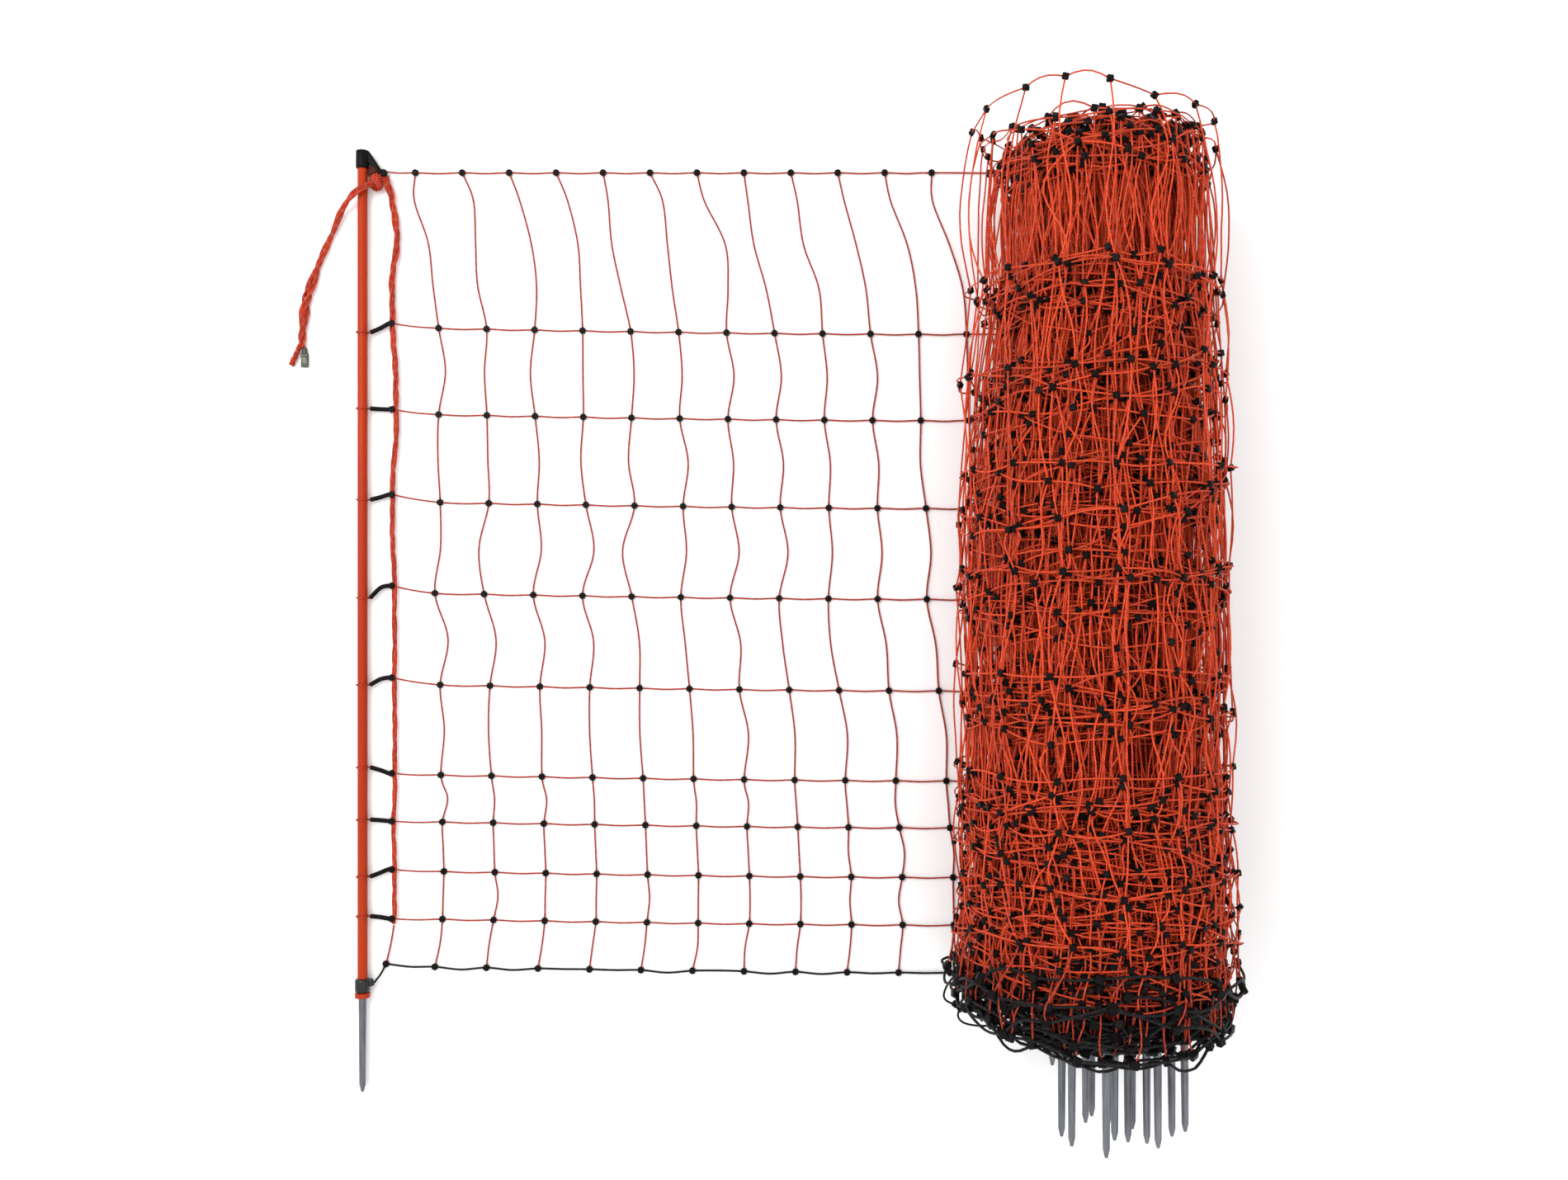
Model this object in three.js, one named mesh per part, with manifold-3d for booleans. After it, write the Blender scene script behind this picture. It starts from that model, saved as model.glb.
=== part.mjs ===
// Electric poultry netting: one 50 m net on fifteen posts, laid flat on the floor.
// Its first post and twelve columns of mesh are spread out, and the rest is rolled up round the other posts.
// Millimetres, +Z up. The net's height runs along Y and its length along X.
// The origin is under the middle of the part, on the floor.
import * as THREE from "three";
import { mergeVertices } from "three/addons/utils/BufferGeometryUtils.js";
import Module from "manifold-3d";

const wasm = await Module();
wasm.setup();

// Clearance between pieces that touch
const gap = 0.3;

// Posts: a plastic rod with a moulded collar, and a steel spike pressed into its lower end
const rod_diameter = 13;
const rod_length = 1119;
const collar_diameter = 20;
const collar_height = 6.5;
const spike_diameter = 10;
const spike_exposed = 125;
const spike_point_length = 11;
const spike_point_diameter = 4;
const shank_diameter = 8;
const shank_length = 60;

// Cap with its hook on the post's top, and the clip that holds the ground strand
const cap_wall = 1.8;
const cap_depth = 16;
const cap_crown = 6.5;
const hook_reach = 26.5;
const hook_drop = 31.5;
const hook_nose_height = 2;
const hook_thickness = 5;
const clip_diameter = 20;
const clip_height = 18.5;
const clip_nose_reach = 13.5;
const clip_nose_height = 10;
const clip_nose_thickness = 7;

// Netting: heights of the cells from the top row down, and the strands and knots
const cell_heights = [207, 115, 117, 121, 122, 120, 62.5, 66, 63.5, 63.5];
const row_one_below_cap = 29.5;
const row_droop = 8;
const strand_diameter = 2.2;
const knot_width = 7.5;
const knot_thickness = 5.2;

// Columns: for each row, how far the first one stands from the post, and their spacing
const column_starts = [68, 99, 99, 101, 94, 101, 102, 104, 106, 104, 94];
const column_pitches = [62.5, 63.9, 64.2, 64.7, 65.5, 66.4, 67.3, 67.6, 67.8, 68.1, 68.6];
const column_count = 12;

// Slack of the upright strands: how far each one bows sideways in its cell, row of cells by row of cells
const strand_bows = [
  [4, 2, 14, 10, -3, 1, 16, -2, 5, 6, 2, 9],
  [9, -3, -6, 0, 4, 4, 9, 8, 5, 8, 0, 0],
  [-2, 0, 4, -5, -6, 9, 5, 7, 5, 5, -4, 0],
  [4, -10, 8, 13, -14, 6, 11, 11, 5, 6, 6, 0],
  [14, 12, 11, 10, 5, 0, 8, -2, -4, 4, 4, 0],
  [5, -3, 1, -2, -2, 2, 9, 4, 7, 6, 5, 0],
  [8, 3, 5, 1, 0, 2, 4, 0, 0, -3, 0, 0],
  [0, 0, 0, 0, 0, 0, 0, 0, -2, 5, 3, 0],
  [0, 5, 0, 0, 3, 0, 1, 1, -2, -5, 0, 0],
  [2, -1, 1, 0, 1, 3, -2, -1, 1, 0, 0, 0],
];

// Ties: a thread looped round the post at rows 2 to 10, led to the netting through a black sleeve
const sleeve_diameter = 6;
const sleeve_bore = 3.8;
const sleeve_start = 10;
const sleeve_end = 35.5;
const tie_drops = [12, -1, 7, 16, 9.5, -8, -2, 9.5, -3.5];
const tie_curls = [0, 0, 0, 5, 2.5, 0, 0, 0, 0];
const row_rises = [5, 6, 10, 10, 10, 3, 2, 4, 2];
const first_knot_from_post = 52;

// End band: the bundle of twisted wires that joins the rows beside the post
const band_diameter = 6;
const band_from_post = 41.5;
const band_sways = [-2, 2.5, -3, 0, 0, 0.5, -1, 0];

// Top knot under the hook, where the band and the tie lead are knotted together
const knot_bundle_from_post = 18.5;
const knot_bundle_width = 19;
const knot_bundle_length = 28;
const knot_bundle_thickness = 16;

// Ground strand's knot between the clip and the first column
const ground_knot_from_post = 29;
const ground_knot_rise = 4;

// Tie lead: the loose end of the wires, with the metal connector and the tail of the cord at its end
const lead_diameter = 10;
const connector_width = 9.5;
const connector_length = 26;
const connector_thickness = 7;
const connector_offset = 3.5;
const tail_diameter = 7;

// Roll: the other 49 m of netting, wound round its posts, flattened a little where it lies
const post_to_roll = 937;
const roll_radius = 165;
const roll_waist_radius = 158;
const roll_axis_height = 152;
const roll_bore_radius = 15;
const roll_beyond_top_row = 10;
const roll_beyond_low_row = 24;
const turn_pitch = 18;
const turn_depth = 6;
const roll_end_radius = 127;

// Rolled posts: each one's place at its tip, beside and above the roll's axis, and how far it is pushed up
const rolled_posts = [
  [-41, 18, 2],
  [-36, 54, 4],
  [-3, -24, 3],
  [10, -49, 2],
  [22, -11, 4],
  [-1, 81, 1],
  [18, 41, 6],
  [36, 33, 1],
  [48, 5, 6],
  [57, 40, 2],
  [66, 57, 3],
  [93, 18, 2],
  [111, 11, 5],
  [-25, -127, 40],
];
const post_fan = 0.9;

// Places worked out from the sizes
const post_height = Math.max(clip_diameter, collar_diameter) / 2;
const highest_push = Math.max(...rolled_posts.map(([, , push]) => push));
const part_length = spike_exposed + rod_length + Math.max(cap_crown, highest_push);
const part_width = collar_diameter / 2 + post_to_roll + roll_radius;
const post_x = -part_width / 2 + collar_diameter / 2;
const roll_x = part_width / 2 - roll_radius;
const rod_bottom_y = -part_length / 2 + spike_exposed;
const cap_top_y = rod_bottom_y + rod_length + cap_crown;
const strand_z = knot_thickness / 2;
const strand_radius = strand_diameter / 2;
const rod_radius = rod_diameter / 2;
const rows = cell_heights.length + 1;
const row_y = [cap_top_y - row_one_below_cap];
for (const height of cell_heights) {
  row_y.push(row_y[row_y.length - 1] - height);
}
const low_row = rows - 1;

function finish(name, colour, roughness, metalness, geometry) {
  const material = new THREE.MeshStandardMaterial({ color: colour, roughness, metalness });
  const mesh = new THREE.Mesh(geometry, material);
  mesh.name = name;
  return mesh;
}

const orange_plastic = (name, geometry) => finish(name, 0xc4441a, 0.35, 0, geometry);
const orange_wire = (name, geometry) => finish(name, 0xc8492e, 0.6, 0, geometry);
const black_plastic = (name, geometry) => finish(name, 0x141414, 0.45, 0, geometry);
const galvanised = (name, geometry) => finish(name, 0x8a8d90, 0.4, 1, geometry);

// A closed three.js geometry as a solid that can be joined and cut, and back again
function solid(geometry) {
  const bare = new THREE.BufferGeometry();
  bare.setAttribute("position", geometry.getAttribute("position"));
  bare.setIndex(geometry.index);
  const merged = mergeVertices(bare, 1e-3);
  return new wasm.Manifold(
    new wasm.Mesh({
      numProp: 3,
      vertProperties: merged.getAttribute("position").array,
      triVerts: new Uint32Array(merged.index.array),
    }),
  );
}

function geometryOf(manifold) {
  const mesh = manifold.getMesh();
  const geometry = new THREE.BufferGeometry();
  geometry.setAttribute("position", new THREE.BufferAttribute(mesh.vertProperties, 3));
  geometry.setIndex(new THREE.BufferAttribute(mesh.triVerts, 1));
  return geometry;
}

// A body turned about the Y axis, from its outline as [radius, height] pairs
function turned(outline, sides) {
  return new THREE.LatheGeometry(outline.map(([r, y]) => new THREE.Vector2(r, y)), sides);
}

function polygon(radius, sides) {
  const corners = [];
  for (let i = 0; i < sides; i += 1) {
    const angle = (i * 2 * Math.PI) / sides;
    corners.push(new THREE.Vector2(radius * Math.cos(angle), radius * Math.sin(angle)));
  }
  return corners;
}

// A round strand or tube along a curve
function along(curve, radius, sides, steps, bore = 0) {
  const section = new THREE.Shape(polygon(radius, sides));
  if (bore > 0) {
    section.holes.push(new THREE.Path(polygon(bore / 2, sides)));
  }
  return new THREE.ExtrudeGeometry(section, { steps, extrudePath: curve, bevelEnabled: false });
}

const smooth = (points) => new THREE.CatmullRomCurve3(points);
const point = (x, y, z) => new THREE.Vector3(x, y, z);

// Post rod, its lower end at the origin and its length along Y
function rod(sides) {
  const socket_radius = shank_diameter / 2 + gap;
  const socket_depth = shank_length + gap;
  return turned(
    [
      [0, socket_depth],
      [socket_radius, socket_depth],
      [socket_radius, 0],
      [collar_diameter / 2, 0],
      [collar_diameter / 2, collar_height],
      [rod_radius, collar_height],
      [rod_radius, rod_length],
      [0, rod_length],
    ],
    sides,
  );
}

// Steel spike, its shank in the rod's socket and its shoulder under the collar
function spike(sides) {
  return turned(
    [
      [0, -spike_exposed],
      [spike_point_diameter / 2, -spike_exposed],
      [spike_diameter / 2, -spike_exposed + spike_point_length],
      [spike_diameter / 2, -gap],
      [shank_diameter / 2, -gap],
      [shank_diameter / 2, shank_length],
      [0, shank_length],
    ],
    sides,
  );
}

// Cap on the rod's top, with the flat hook that reaches down towards the netting
function topCap() {
  const inner = rod_radius + gap;
  const outer = inner + cap_wall;
  const crown = rod_length + cap_crown;
  const cap = turned(
    [
      [0, rod_length + gap],
      [inner, rod_length + gap],
      [inner, rod_length - cap_depth],
      [outer, rod_length - cap_depth],
      [outer, crown],
      [0, crown],
    ],
    12,
  );
  const root = inner + cap_wall / 2;
  const fin_outline = new THREE.Shape([
    new THREE.Vector2(root, crown - hook_drop),
    new THREE.Vector2(hook_reach, crown - hook_drop),
    new THREE.Vector2(hook_reach, crown - hook_drop + hook_nose_height),
    new THREE.Vector2(outer, crown - gap),
    new THREE.Vector2(root, crown - gap),
  ]);
  const fin = new THREE.ExtrudeGeometry(fin_outline, { depth: hook_thickness, bevelEnabled: false });
  fin.translate(0, 0, -hook_thickness / 2);
  return geometryOf(solid(cap).add(solid(fin)));
}

// Clip round the rod above the collar, with the nose that the ground strand leaves
function groundClip() {
  const inner = rod_radius + gap;
  const low = collar_height + gap;
  const outer = clip_diameter / 2;
  const ring = turned(
    [
      [inner, low],
      [outer, low],
      [outer, low + clip_height],
      [inner, low + clip_height],
      [inner, low],
    ],
    12,
  );
  const root = (inner + outer) / 2;
  const nose = new THREE.BoxGeometry(clip_nose_reach - root, clip_nose_height, clip_nose_thickness);
  nose.translate((clip_nose_reach + root) / 2, low + clip_height - clip_nose_height / 2 - 1, 0);
  return geometryOf(solid(ring).add(solid(nose)));
}

// Where the strands cross: rows sag a little towards the roll
function crossing(row, column) {
  const x = post_x + column_starts[row] + column_pitches[row] * column;
  const share = column / (column_count - 1);
  const droop = row === 0 ? 0 : row_droop * Math.sin((share * Math.PI) / 2);
  return point(x, row_y[row] - droop, strand_z);
}

// A row's left end: the hook, the end band's knot or the ground clip
function rowStart(row) {
  if (row === 0) {
    return [point(post_x + hook_reach + gap + strand_radius, row_y[0], strand_z)];
  }
  if (row === low_row) {
    const clip_end = point(post_x + clip_nose_reach + 3 * gap, rod_bottom_y + clip_height, post_height - 2);
    return [clip_end, groundKnot()];
  }
  return [point(post_x + first_knot_from_post, row_y[row] + row_rises[row - 1], strand_z)];
}

function groundKnot() {
  return point(post_x + ground_knot_from_post, row_y[low_row] + ground_knot_rise, strand_z);
}

// A row runs on under the roll, where the roll's side cuts it off
function rowEnd(row) {
  return point(roll_x, crossing(row, column_count - 1).y, strand_z);
}

function strandRow(row) {
  const points = [];
  for (let column = 0; column < column_count; column += 1) {
    points.push(crossing(row, column));
  }
  points.push(rowEnd(row));
  return along(smooth(points), strand_radius, 3, 12);
}

// The stretches of a row before its first crossing
function strandLeadIn(row) {
  const points = [...rowStart(row), crossing(row, 0)];
  return points.slice(1).map((end, i) => along(smooth([points[i], end]), strand_radius, 3, 1));
}

function strandColumn(column) {
  const points = [crossing(0, column)];
  for (let row = 1; row < rows; row += 1) {
    const above = crossing(row - 1, column);
    const below = crossing(row, column);
    const middle = above.clone().lerp(below, 0.5);
    middle.x += strand_bows[row - 1][column];
    points.push(middle, below);
  }
  return along(smooth(points), strand_radius, 3, 26);
}

function knot(place) {
  const block = new THREE.BoxGeometry(knot_width, knot_width, knot_thickness);
  return block.translate(place.x, place.y, place.z);
}

// The spread netting: rows, columns and the knots that join them, in one piece
function netPanel() {
  const strands = [];
  for (let row = 0; row < rows; row += 1) {
    strands.push(strandRow(row), ...strandLeadIn(row));
    for (let column = 0; column < column_count; column += 1) {
      strands.push(knot(crossing(row, column)));
    }
    if (row > 0) {
      strands.push(knot(rowStart(row)[row === low_row ? 1 : 0]));
    }
  }
  for (let column = 0; column < column_count; column += 1) {
    strands.push(strandColumn(column));
  }
  strands.push(along(smooth([bandEnd(), groundKnot()]), strand_radius, 3, 1));
  const roll_clearance = turned(rollOutline(2 * gap), roll_sides).translate(roll_x, 0, roll_axis_height);
  return geometryOf(wasm.Manifold.union(strands.map(solid)).subtract(solid(roll_clearance)));
}

// The end band lies over the rows and comes down to a single strand below row 10
const band_z = strand_z + strand_radius + gap + band_diameter / 2;

function bandEnd() {
  const low = row_y[low_row - 1] - knot_width;
  return point(post_x + band_from_post - 2, low - 2 * gap, strand_z);
}

function endBand() {
  const x = post_x + band_from_post;
  const knot_edge = post_x + knot_bundle_from_post + knot_bundle_width / 2 + gap;
  const top = row_y[0] - 8;
  const points = [point(knot_edge + 2, top, post_height), point(knot_edge + 6, top - 12, post_height)];
  points.push(point(x - 2, row_y[0] - 42, band_z + 1), point(x + 3, row_y[0] - 95, band_z));
  points.push(point(x - 3.5, row_y[0] - 150, band_z));
  band_sways.forEach((sway, i) => points.push(point(x + sway, row_y[i + 1], band_z)));
  points.push(point(x, row_y[low_row - 1] + 10, band_z), point(x - 1, bandEnd().y + 3, band_z));
  return along(smooth(points), band_diameter / 2, 8, 34);
}

// A tie thread's course, from its loop at the post to the row's first knot
function tieCourse(row) {
  const knot_y = rowStart(row)[0].y;
  const post_y = knot_y - tie_drops[row - 1];
  const sleeve_z = sleeve_diameter / 2 + gap;
  const loop_radius = rod_radius + gap + strand_radius;
  const middle_y = (knot_y + post_y) / 2 + tie_curls[row - 1];
  const middle_z = (post_height + sleeve_z) / 2;
  return smooth([
    point(post_x + loop_radius, post_y, post_height),
    point(post_x + sleeve_start, post_y, post_height - 1),
    point(post_x + (sleeve_start + sleeve_end) / 2, middle_y, middle_z),
    point(post_x + sleeve_end, knot_y, sleeve_z),
    point(post_x + first_knot_from_post - knot_width / 2 - gap, knot_y, strand_z),
  ]);
}

function tieThread(row) {
  const course = tieCourse(row);
  const loop_radius = rod_radius + gap + strand_radius;
  const loop = turned(
    [
      [loop_radius - strand_radius, 0],
      [loop_radius, -strand_radius],
      [loop_radius + strand_radius, 0],
      [loop_radius, strand_radius],
      [loop_radius - strand_radius, 0],
    ],
    12,
  );
  loop.translate(post_x, course.getPoint(0).y, post_height);
  return geometryOf(solid(loop).add(solid(along(course, strand_radius, 3, 10))));
}

function sleeve(row) {
  const course = tieCourse(row);
  const stretch = [0.25, 0.375, 0.5, 0.625, 0.75].map((share) => course.getPoint(share));
  return along(smooth(stretch), sleeve_diameter / 2, 6, 4, sleeve_bore);
}

// The knotted bundle under the hook, an egg shape lying along Y
function topKnot() {
  const outline = [];
  const stations = 6;
  for (let i = 0; i <= stations; i += 1) {
    const angle = (i * Math.PI) / stations - Math.PI / 2;
    outline.push([Math.max(0, Math.cos(angle) - 1e-9), Math.sin(angle)]);
  }
  const egg = turned(outline, 8);
  egg.scale(knot_bundle_width / 2, knot_bundle_length / 2, knot_bundle_thickness / 2);
  const centre_y = cap_top_y - hook_drop - gap - knot_bundle_length / 2;
  return egg.translate(post_x + knot_bundle_from_post, centre_y, post_height);
}

// Tie lead: its middle line from the top knot over the post to the floor, from the post and below the cap
const lead_points = [
  [17.5, -49.8, 22.2],
  [9, -52.3, 23.4],
  [0, -56.8, 23],
  [-9.5, -63.3, 21],
  [-19, -71.8, 16],
  [-28, -83.3, 10.5],
  [-35, -96.3, 7],
  [-40.5, -109.3, 5.5],
  [-46, -121.3, 5.3],
  [-52, -134.3, 5.3],
  [-57.5, -146.8, 5.3],
  [-61.5, -157.3, 5.3],
  [-65, -167.3, 5.3],
  [-69, -177.8, 5.3],
  [-73, -189.3, 5.3],
  [-76.5, -200.8, 5.3],
  [-78.5, -213.3, 5.3],
  [-80, -226.3, 5.3],
  [-81, -239.3, 5.3],
  [-81.8, -251.3, 5.3],
  [-82.3, -262.8, 5.3],
];

const lead_course = lead_points.map(([x, y, z]) => point(post_x + x, cap_top_y + y, z));
const lead_end = lead_course[lead_course.length - 1];

function tieLead() {
  return along(smooth(lead_course), lead_diameter / 2, 8, 26);
}

// The metal connector that the lead ends in, and the cord's tail that hangs out beside it
function leadConnector() {
  const body = new THREE.BoxGeometry(connector_width, connector_length, connector_thickness);
  const middle_y = lead_end.y - gap - connector_length / 2;
  return body.translate(lead_end.x + connector_offset, middle_y, connector_thickness / 2);
}

function leadTail() {
  const low = tail_diameter / 2 + gap;
  const side = lead_end.x + connector_offset - connector_width / 2 - gap - tail_diameter / 2;
  const course = smooth([
    point(side - 0.5, lead_end.y - 4, low),
    point(side - 4, lead_end.y - 14, low),
    point(side - 10, lead_end.y - 25, low),
  ]);
  return along(course, tail_diameter / 2, 8, 4);
}

// The roll: its outline from the bore round both ends, where the turns stand up as ridges
const roll_sides = 20;

function rollOutline(grown = 0) {
  const low = row_y[low_row] - roll_beyond_low_row;
  const top = row_y[0] + roll_beyond_top_row;
  const turns = Math.floor((roll_end_radius - roll_bore_radius) / turn_pitch);
  const low_end = [[roll_bore_radius, low + turn_depth]];
  const top_end = [[roll_bore_radius, top - turn_depth]];
  for (let turn = 0; turn < turns; turn += 1) {
    const start = roll_bore_radius + turn * turn_pitch;
    low_end.push([start + turn_pitch / 2, low], [start + turn_pitch, low + turn_depth]);
    top_end.push([start + turn_pitch / 2, top], [start + turn_pitch, top - turn_depth]);
  }
  const side = [
    [roll_waist_radius - 8, low + 14],
    [roll_radius, low + 50],
    [roll_radius, low + 190],
    [roll_waist_radius, low + 330],
    [roll_waist_radius - 2, low + 700],
    [roll_waist_radius, top - 110],
    [roll_waist_radius - 4, top - 40],
    [roll_waist_radius - 14, top - 12],
  ].map(([radius, y]) => [radius + grown, y]);
  return [...low_end, ...side, ...top_end.reverse(), low_end[0]];
}

// Each rolled post stands with its tip at its own place, and its top drawn in towards the others
function placeOnRolledPost(object, index) {
  const [beside, above, push] = rolled_posts[index];
  const tip = point(roll_x + beside, -part_length / 2 + push, roll_axis_height + above);
  const length = spike_exposed + rod_length;
  const top = point(roll_x + beside * post_fan, tip.y + length, roll_axis_height + above * post_fan);
  const along_post = top.clone().sub(tip).normalize();
  object.quaternion.setFromUnitVectors(point(0, 1, 0), along_post);
  object.position.copy(tip.clone().addScaledVector(along_post, spike_exposed));
  object.updateMatrix();
  return object;
}

const rolled_sides = 6;

function postHole(index) {
  const rod_hole = rod_radius + 2 * gap;
  const collar_hole = collar_diameter / 2 + 2 * gap;
  const beyond = spike_exposed + rod_length;
  const outline = [
    [0, -beyond],
    [collar_hole, -beyond],
    [collar_hole, collar_height + gap],
    [rod_hole, collar_height + gap],
    [rod_hole, beyond],
    [0, beyond],
  ];
  const hole = turned(outline, rolled_sides);
  const place = placeOnRolledPost(new THREE.Object3D(), index);
  return hole.applyMatrix4(place.matrix);
}

function netRoll() {
  const wound = turned(rollOutline(), roll_sides);
  wound.translate(roll_x, 0, roll_axis_height);
  const floor_cut = new THREE.BoxGeometry(4 * roll_radius, 2 * part_length, 2 * roll_radius);
  floor_cut.translate(roll_x, 0, -roll_radius);
  const holes = rolled_posts.map((_, index) => solid(postHole(index)));
  return geometryOf(solid(wound).subtract(solid(floor_cut)).subtract(wasm.Manifold.union(holes)));
}

const group = new THREE.Group();

const end_post = new THREE.Group();
end_post.position.set(post_x, rod_bottom_y, post_height);
end_post.add(
  orange_plastic("end_post_rod", rod(12)),
  galvanised("end_post_spike", spike(12)),
  black_plastic("end_post_cap", topCap()),
  black_plastic("end_post_clip", groundClip()),
);
group.add(end_post);

for (let row = 1; row < low_row; row += 1) {
  const label = String(row + 1).padStart(2, "0");
  group.add(orange_wire(`tie_thread_${label}`, tieThread(row)));
  group.add(black_plastic(`tie_sleeve_${label}`, sleeve(row)));
}

group.add(
  orange_wire("net_panel", netPanel()),
  orange_wire("end_band", endBand()),
  orange_wire("top_knot", topKnot()),
  orange_wire("tie_lead", tieLead()),
  galvanised("lead_connector", leadConnector()),
  orange_wire("lead_tail", leadTail()),
  orange_wire("net_roll", netRoll()),
);

rolled_posts.forEach((_, index) => {
  const label = String(index + 1).padStart(2, "0");
  group.add(placeOnRolledPost(orange_plastic(`rolled_rod_${label}`, rod(rolled_sides)), index));
  group.add(placeOnRolledPost(galvanised(`rolled_spike_${label}`, spike(rolled_sides)), index));
});

export default group;
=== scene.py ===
# %% [markdown]
# Electric poultry netting, spread out beside its own roll.
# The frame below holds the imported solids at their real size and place, in metres. This lesson dresses
# them: it models each visible piece again with its real finish, and hides the plain solid it stands for.

# %% Load the frame
import math

import bmesh
import bpy
import numpy as np
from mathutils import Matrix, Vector


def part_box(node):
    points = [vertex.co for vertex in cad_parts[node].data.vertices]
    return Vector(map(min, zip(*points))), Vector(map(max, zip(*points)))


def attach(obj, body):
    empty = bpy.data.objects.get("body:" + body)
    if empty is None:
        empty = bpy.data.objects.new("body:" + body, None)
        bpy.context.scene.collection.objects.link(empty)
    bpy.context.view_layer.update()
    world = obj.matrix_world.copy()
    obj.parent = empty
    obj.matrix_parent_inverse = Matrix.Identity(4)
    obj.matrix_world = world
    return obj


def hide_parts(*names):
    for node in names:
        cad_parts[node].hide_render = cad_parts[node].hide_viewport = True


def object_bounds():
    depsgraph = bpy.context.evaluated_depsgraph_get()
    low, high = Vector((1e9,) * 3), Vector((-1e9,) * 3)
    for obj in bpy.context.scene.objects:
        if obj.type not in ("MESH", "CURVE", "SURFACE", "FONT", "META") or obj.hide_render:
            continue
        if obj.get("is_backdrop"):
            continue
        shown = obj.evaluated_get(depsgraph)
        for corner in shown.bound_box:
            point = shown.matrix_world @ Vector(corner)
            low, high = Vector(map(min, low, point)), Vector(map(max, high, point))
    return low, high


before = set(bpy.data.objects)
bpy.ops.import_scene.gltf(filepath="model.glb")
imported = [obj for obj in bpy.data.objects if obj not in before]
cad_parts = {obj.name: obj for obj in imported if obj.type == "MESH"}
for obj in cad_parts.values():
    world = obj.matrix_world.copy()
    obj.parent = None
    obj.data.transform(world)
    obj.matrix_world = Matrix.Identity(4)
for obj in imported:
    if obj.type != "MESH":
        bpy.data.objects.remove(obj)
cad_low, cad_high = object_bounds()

print("CAD box", [round(v, 4) for v in (*cad_low, *cad_high)])

# %% [markdown]
# Sizes come from the solids where a box can tell them, and are named here where it can't.
# The end post stands for the left edge, its cap's top for the upper one, and the netting hangs off both.

# %% Sizes in metres
POST_RADIUS = 0.0065
COLLAR_RADIUS = 0.010
COLLAR_HEIGHT = 0.0065
ROD_LENGTH = 1.119
CAP_CROWN = 0.0065
SPIKE_RADIUS = (0.0054, 0.0042)
STRAND_RADIUS = 0.0011
GROUND_RADIUS = 0.0014
KNOT_WIDTH = 0.0072
KNOT_THICKNESS = 0.0052
rod_low, rod_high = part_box("end_post_rod")
POST_X = (rod_low[0] + rod_high[0]) / 2
POST_Z = (rod_low[2] + rod_high[2]) / 2
ROD_BOTTOM = rod_low[1]
CAP_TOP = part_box("end_post_cap")[1][1]
roll_low, roll_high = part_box("net_roll")
ROLL_X = (roll_low[0] + roll_high[0]) / 2
ROLL_Z = 0.152
ROLL_RADIUS = 0.158
STRAND_Z = KNOT_THICKNESS / 2
print("post axis", round(POST_X, 4), round(POST_Z, 4), "roll axis", round(ROLL_X, 4))

# %% [markdown]
# The photograph looks straight down on the floor, so the camera hangs above it and looks along -Z.
# Its height sets the perspective: the top of the roll is nearer, so it looks wider than the flat mesh.

# %% Camera
CAMERA_HEIGHT = 1.90
FLOOR_WIDTH = 2.0907
CAMERA_X = POST_X + 0.559
CAMERA_Y = CAP_TOP - 0.5852
camera_data = bpy.data.cameras.new("photo_camera")
camera_data.sensor_fit = "HORIZONTAL"
camera_data.sensor_width = 36
camera_data.lens = camera_data.sensor_width * CAMERA_HEIGHT / FLOOR_WIDTH
camera = bpy.data.objects.new("photo_camera", camera_data)
camera.location = (CAMERA_X, CAMERA_Y, CAMERA_HEIGHT)
bpy.context.collection.objects.link(camera)
bpy.context.scene.camera = camera
print("lens", round(camera_data.lens, 2), "mm")

# %% [markdown]
# A studio floor in near white, a pale sky from all sides and one large soft lamp from the upper left.
# Soft light keeps the thin strands readable and lets the inside of the roll fall dark by itself.

# %% Floor and light
FLOOR_SIZE = 30
FLOOR_GREY = 0.96
SKY_GREY = 0.55
SKY_WHITE_FROM = 0.75
SKY_STRENGTH = 1.35
LAMP_PLACE = (-1.3, 0.9, 2.4)
bpy.context.scene.view_settings.view_transform = "Standard"
bpy.ops.mesh.primitive_plane_add(size=FLOOR_SIZE, location=(0, 0, 0))
floor = bpy.context.object
floor.name = "studio_floor"
floor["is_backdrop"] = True
floor_paint = bpy.data.materials.new("floor_paint")
floor_paint.use_nodes = True
floor_shader = floor_paint.node_tree.nodes["Principled BSDF"]
floor_shader.inputs["Base Color"].default_value = (FLOOR_GREY, FLOOR_GREY, FLOOR_GREY, 1)
floor_shader.inputs["Roughness"].default_value = 0.9
floor.data.materials.append(floor_paint)

world = bpy.data.worlds.new("studio")
bpy.context.scene.world = world
world.use_nodes = True
sky = world.node_tree.nodes["Background"]
sky_place = world.node_tree.nodes.new("ShaderNodeTexCoord")
sky_split = world.node_tree.nodes.new("ShaderNodeSeparateXYZ")
sky_ramp = world.node_tree.nodes.new("ShaderNodeValToRGB")
world.node_tree.links.new(sky_place.outputs["Generated"], sky_split.inputs[0])
world.node_tree.links.new(sky_split.outputs["Z"], sky_ramp.inputs["Fac"])
world.node_tree.links.new(sky_ramp.outputs["Color"], sky.inputs["Color"])
sky_ramp.color_ramp.elements[0].color = (SKY_GREY, SKY_GREY, SKY_GREY, 1)
sky_ramp.color_ramp.elements[1].position = SKY_WHITE_FROM
sky.inputs["Strength"].default_value = SKY_STRENGTH

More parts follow.
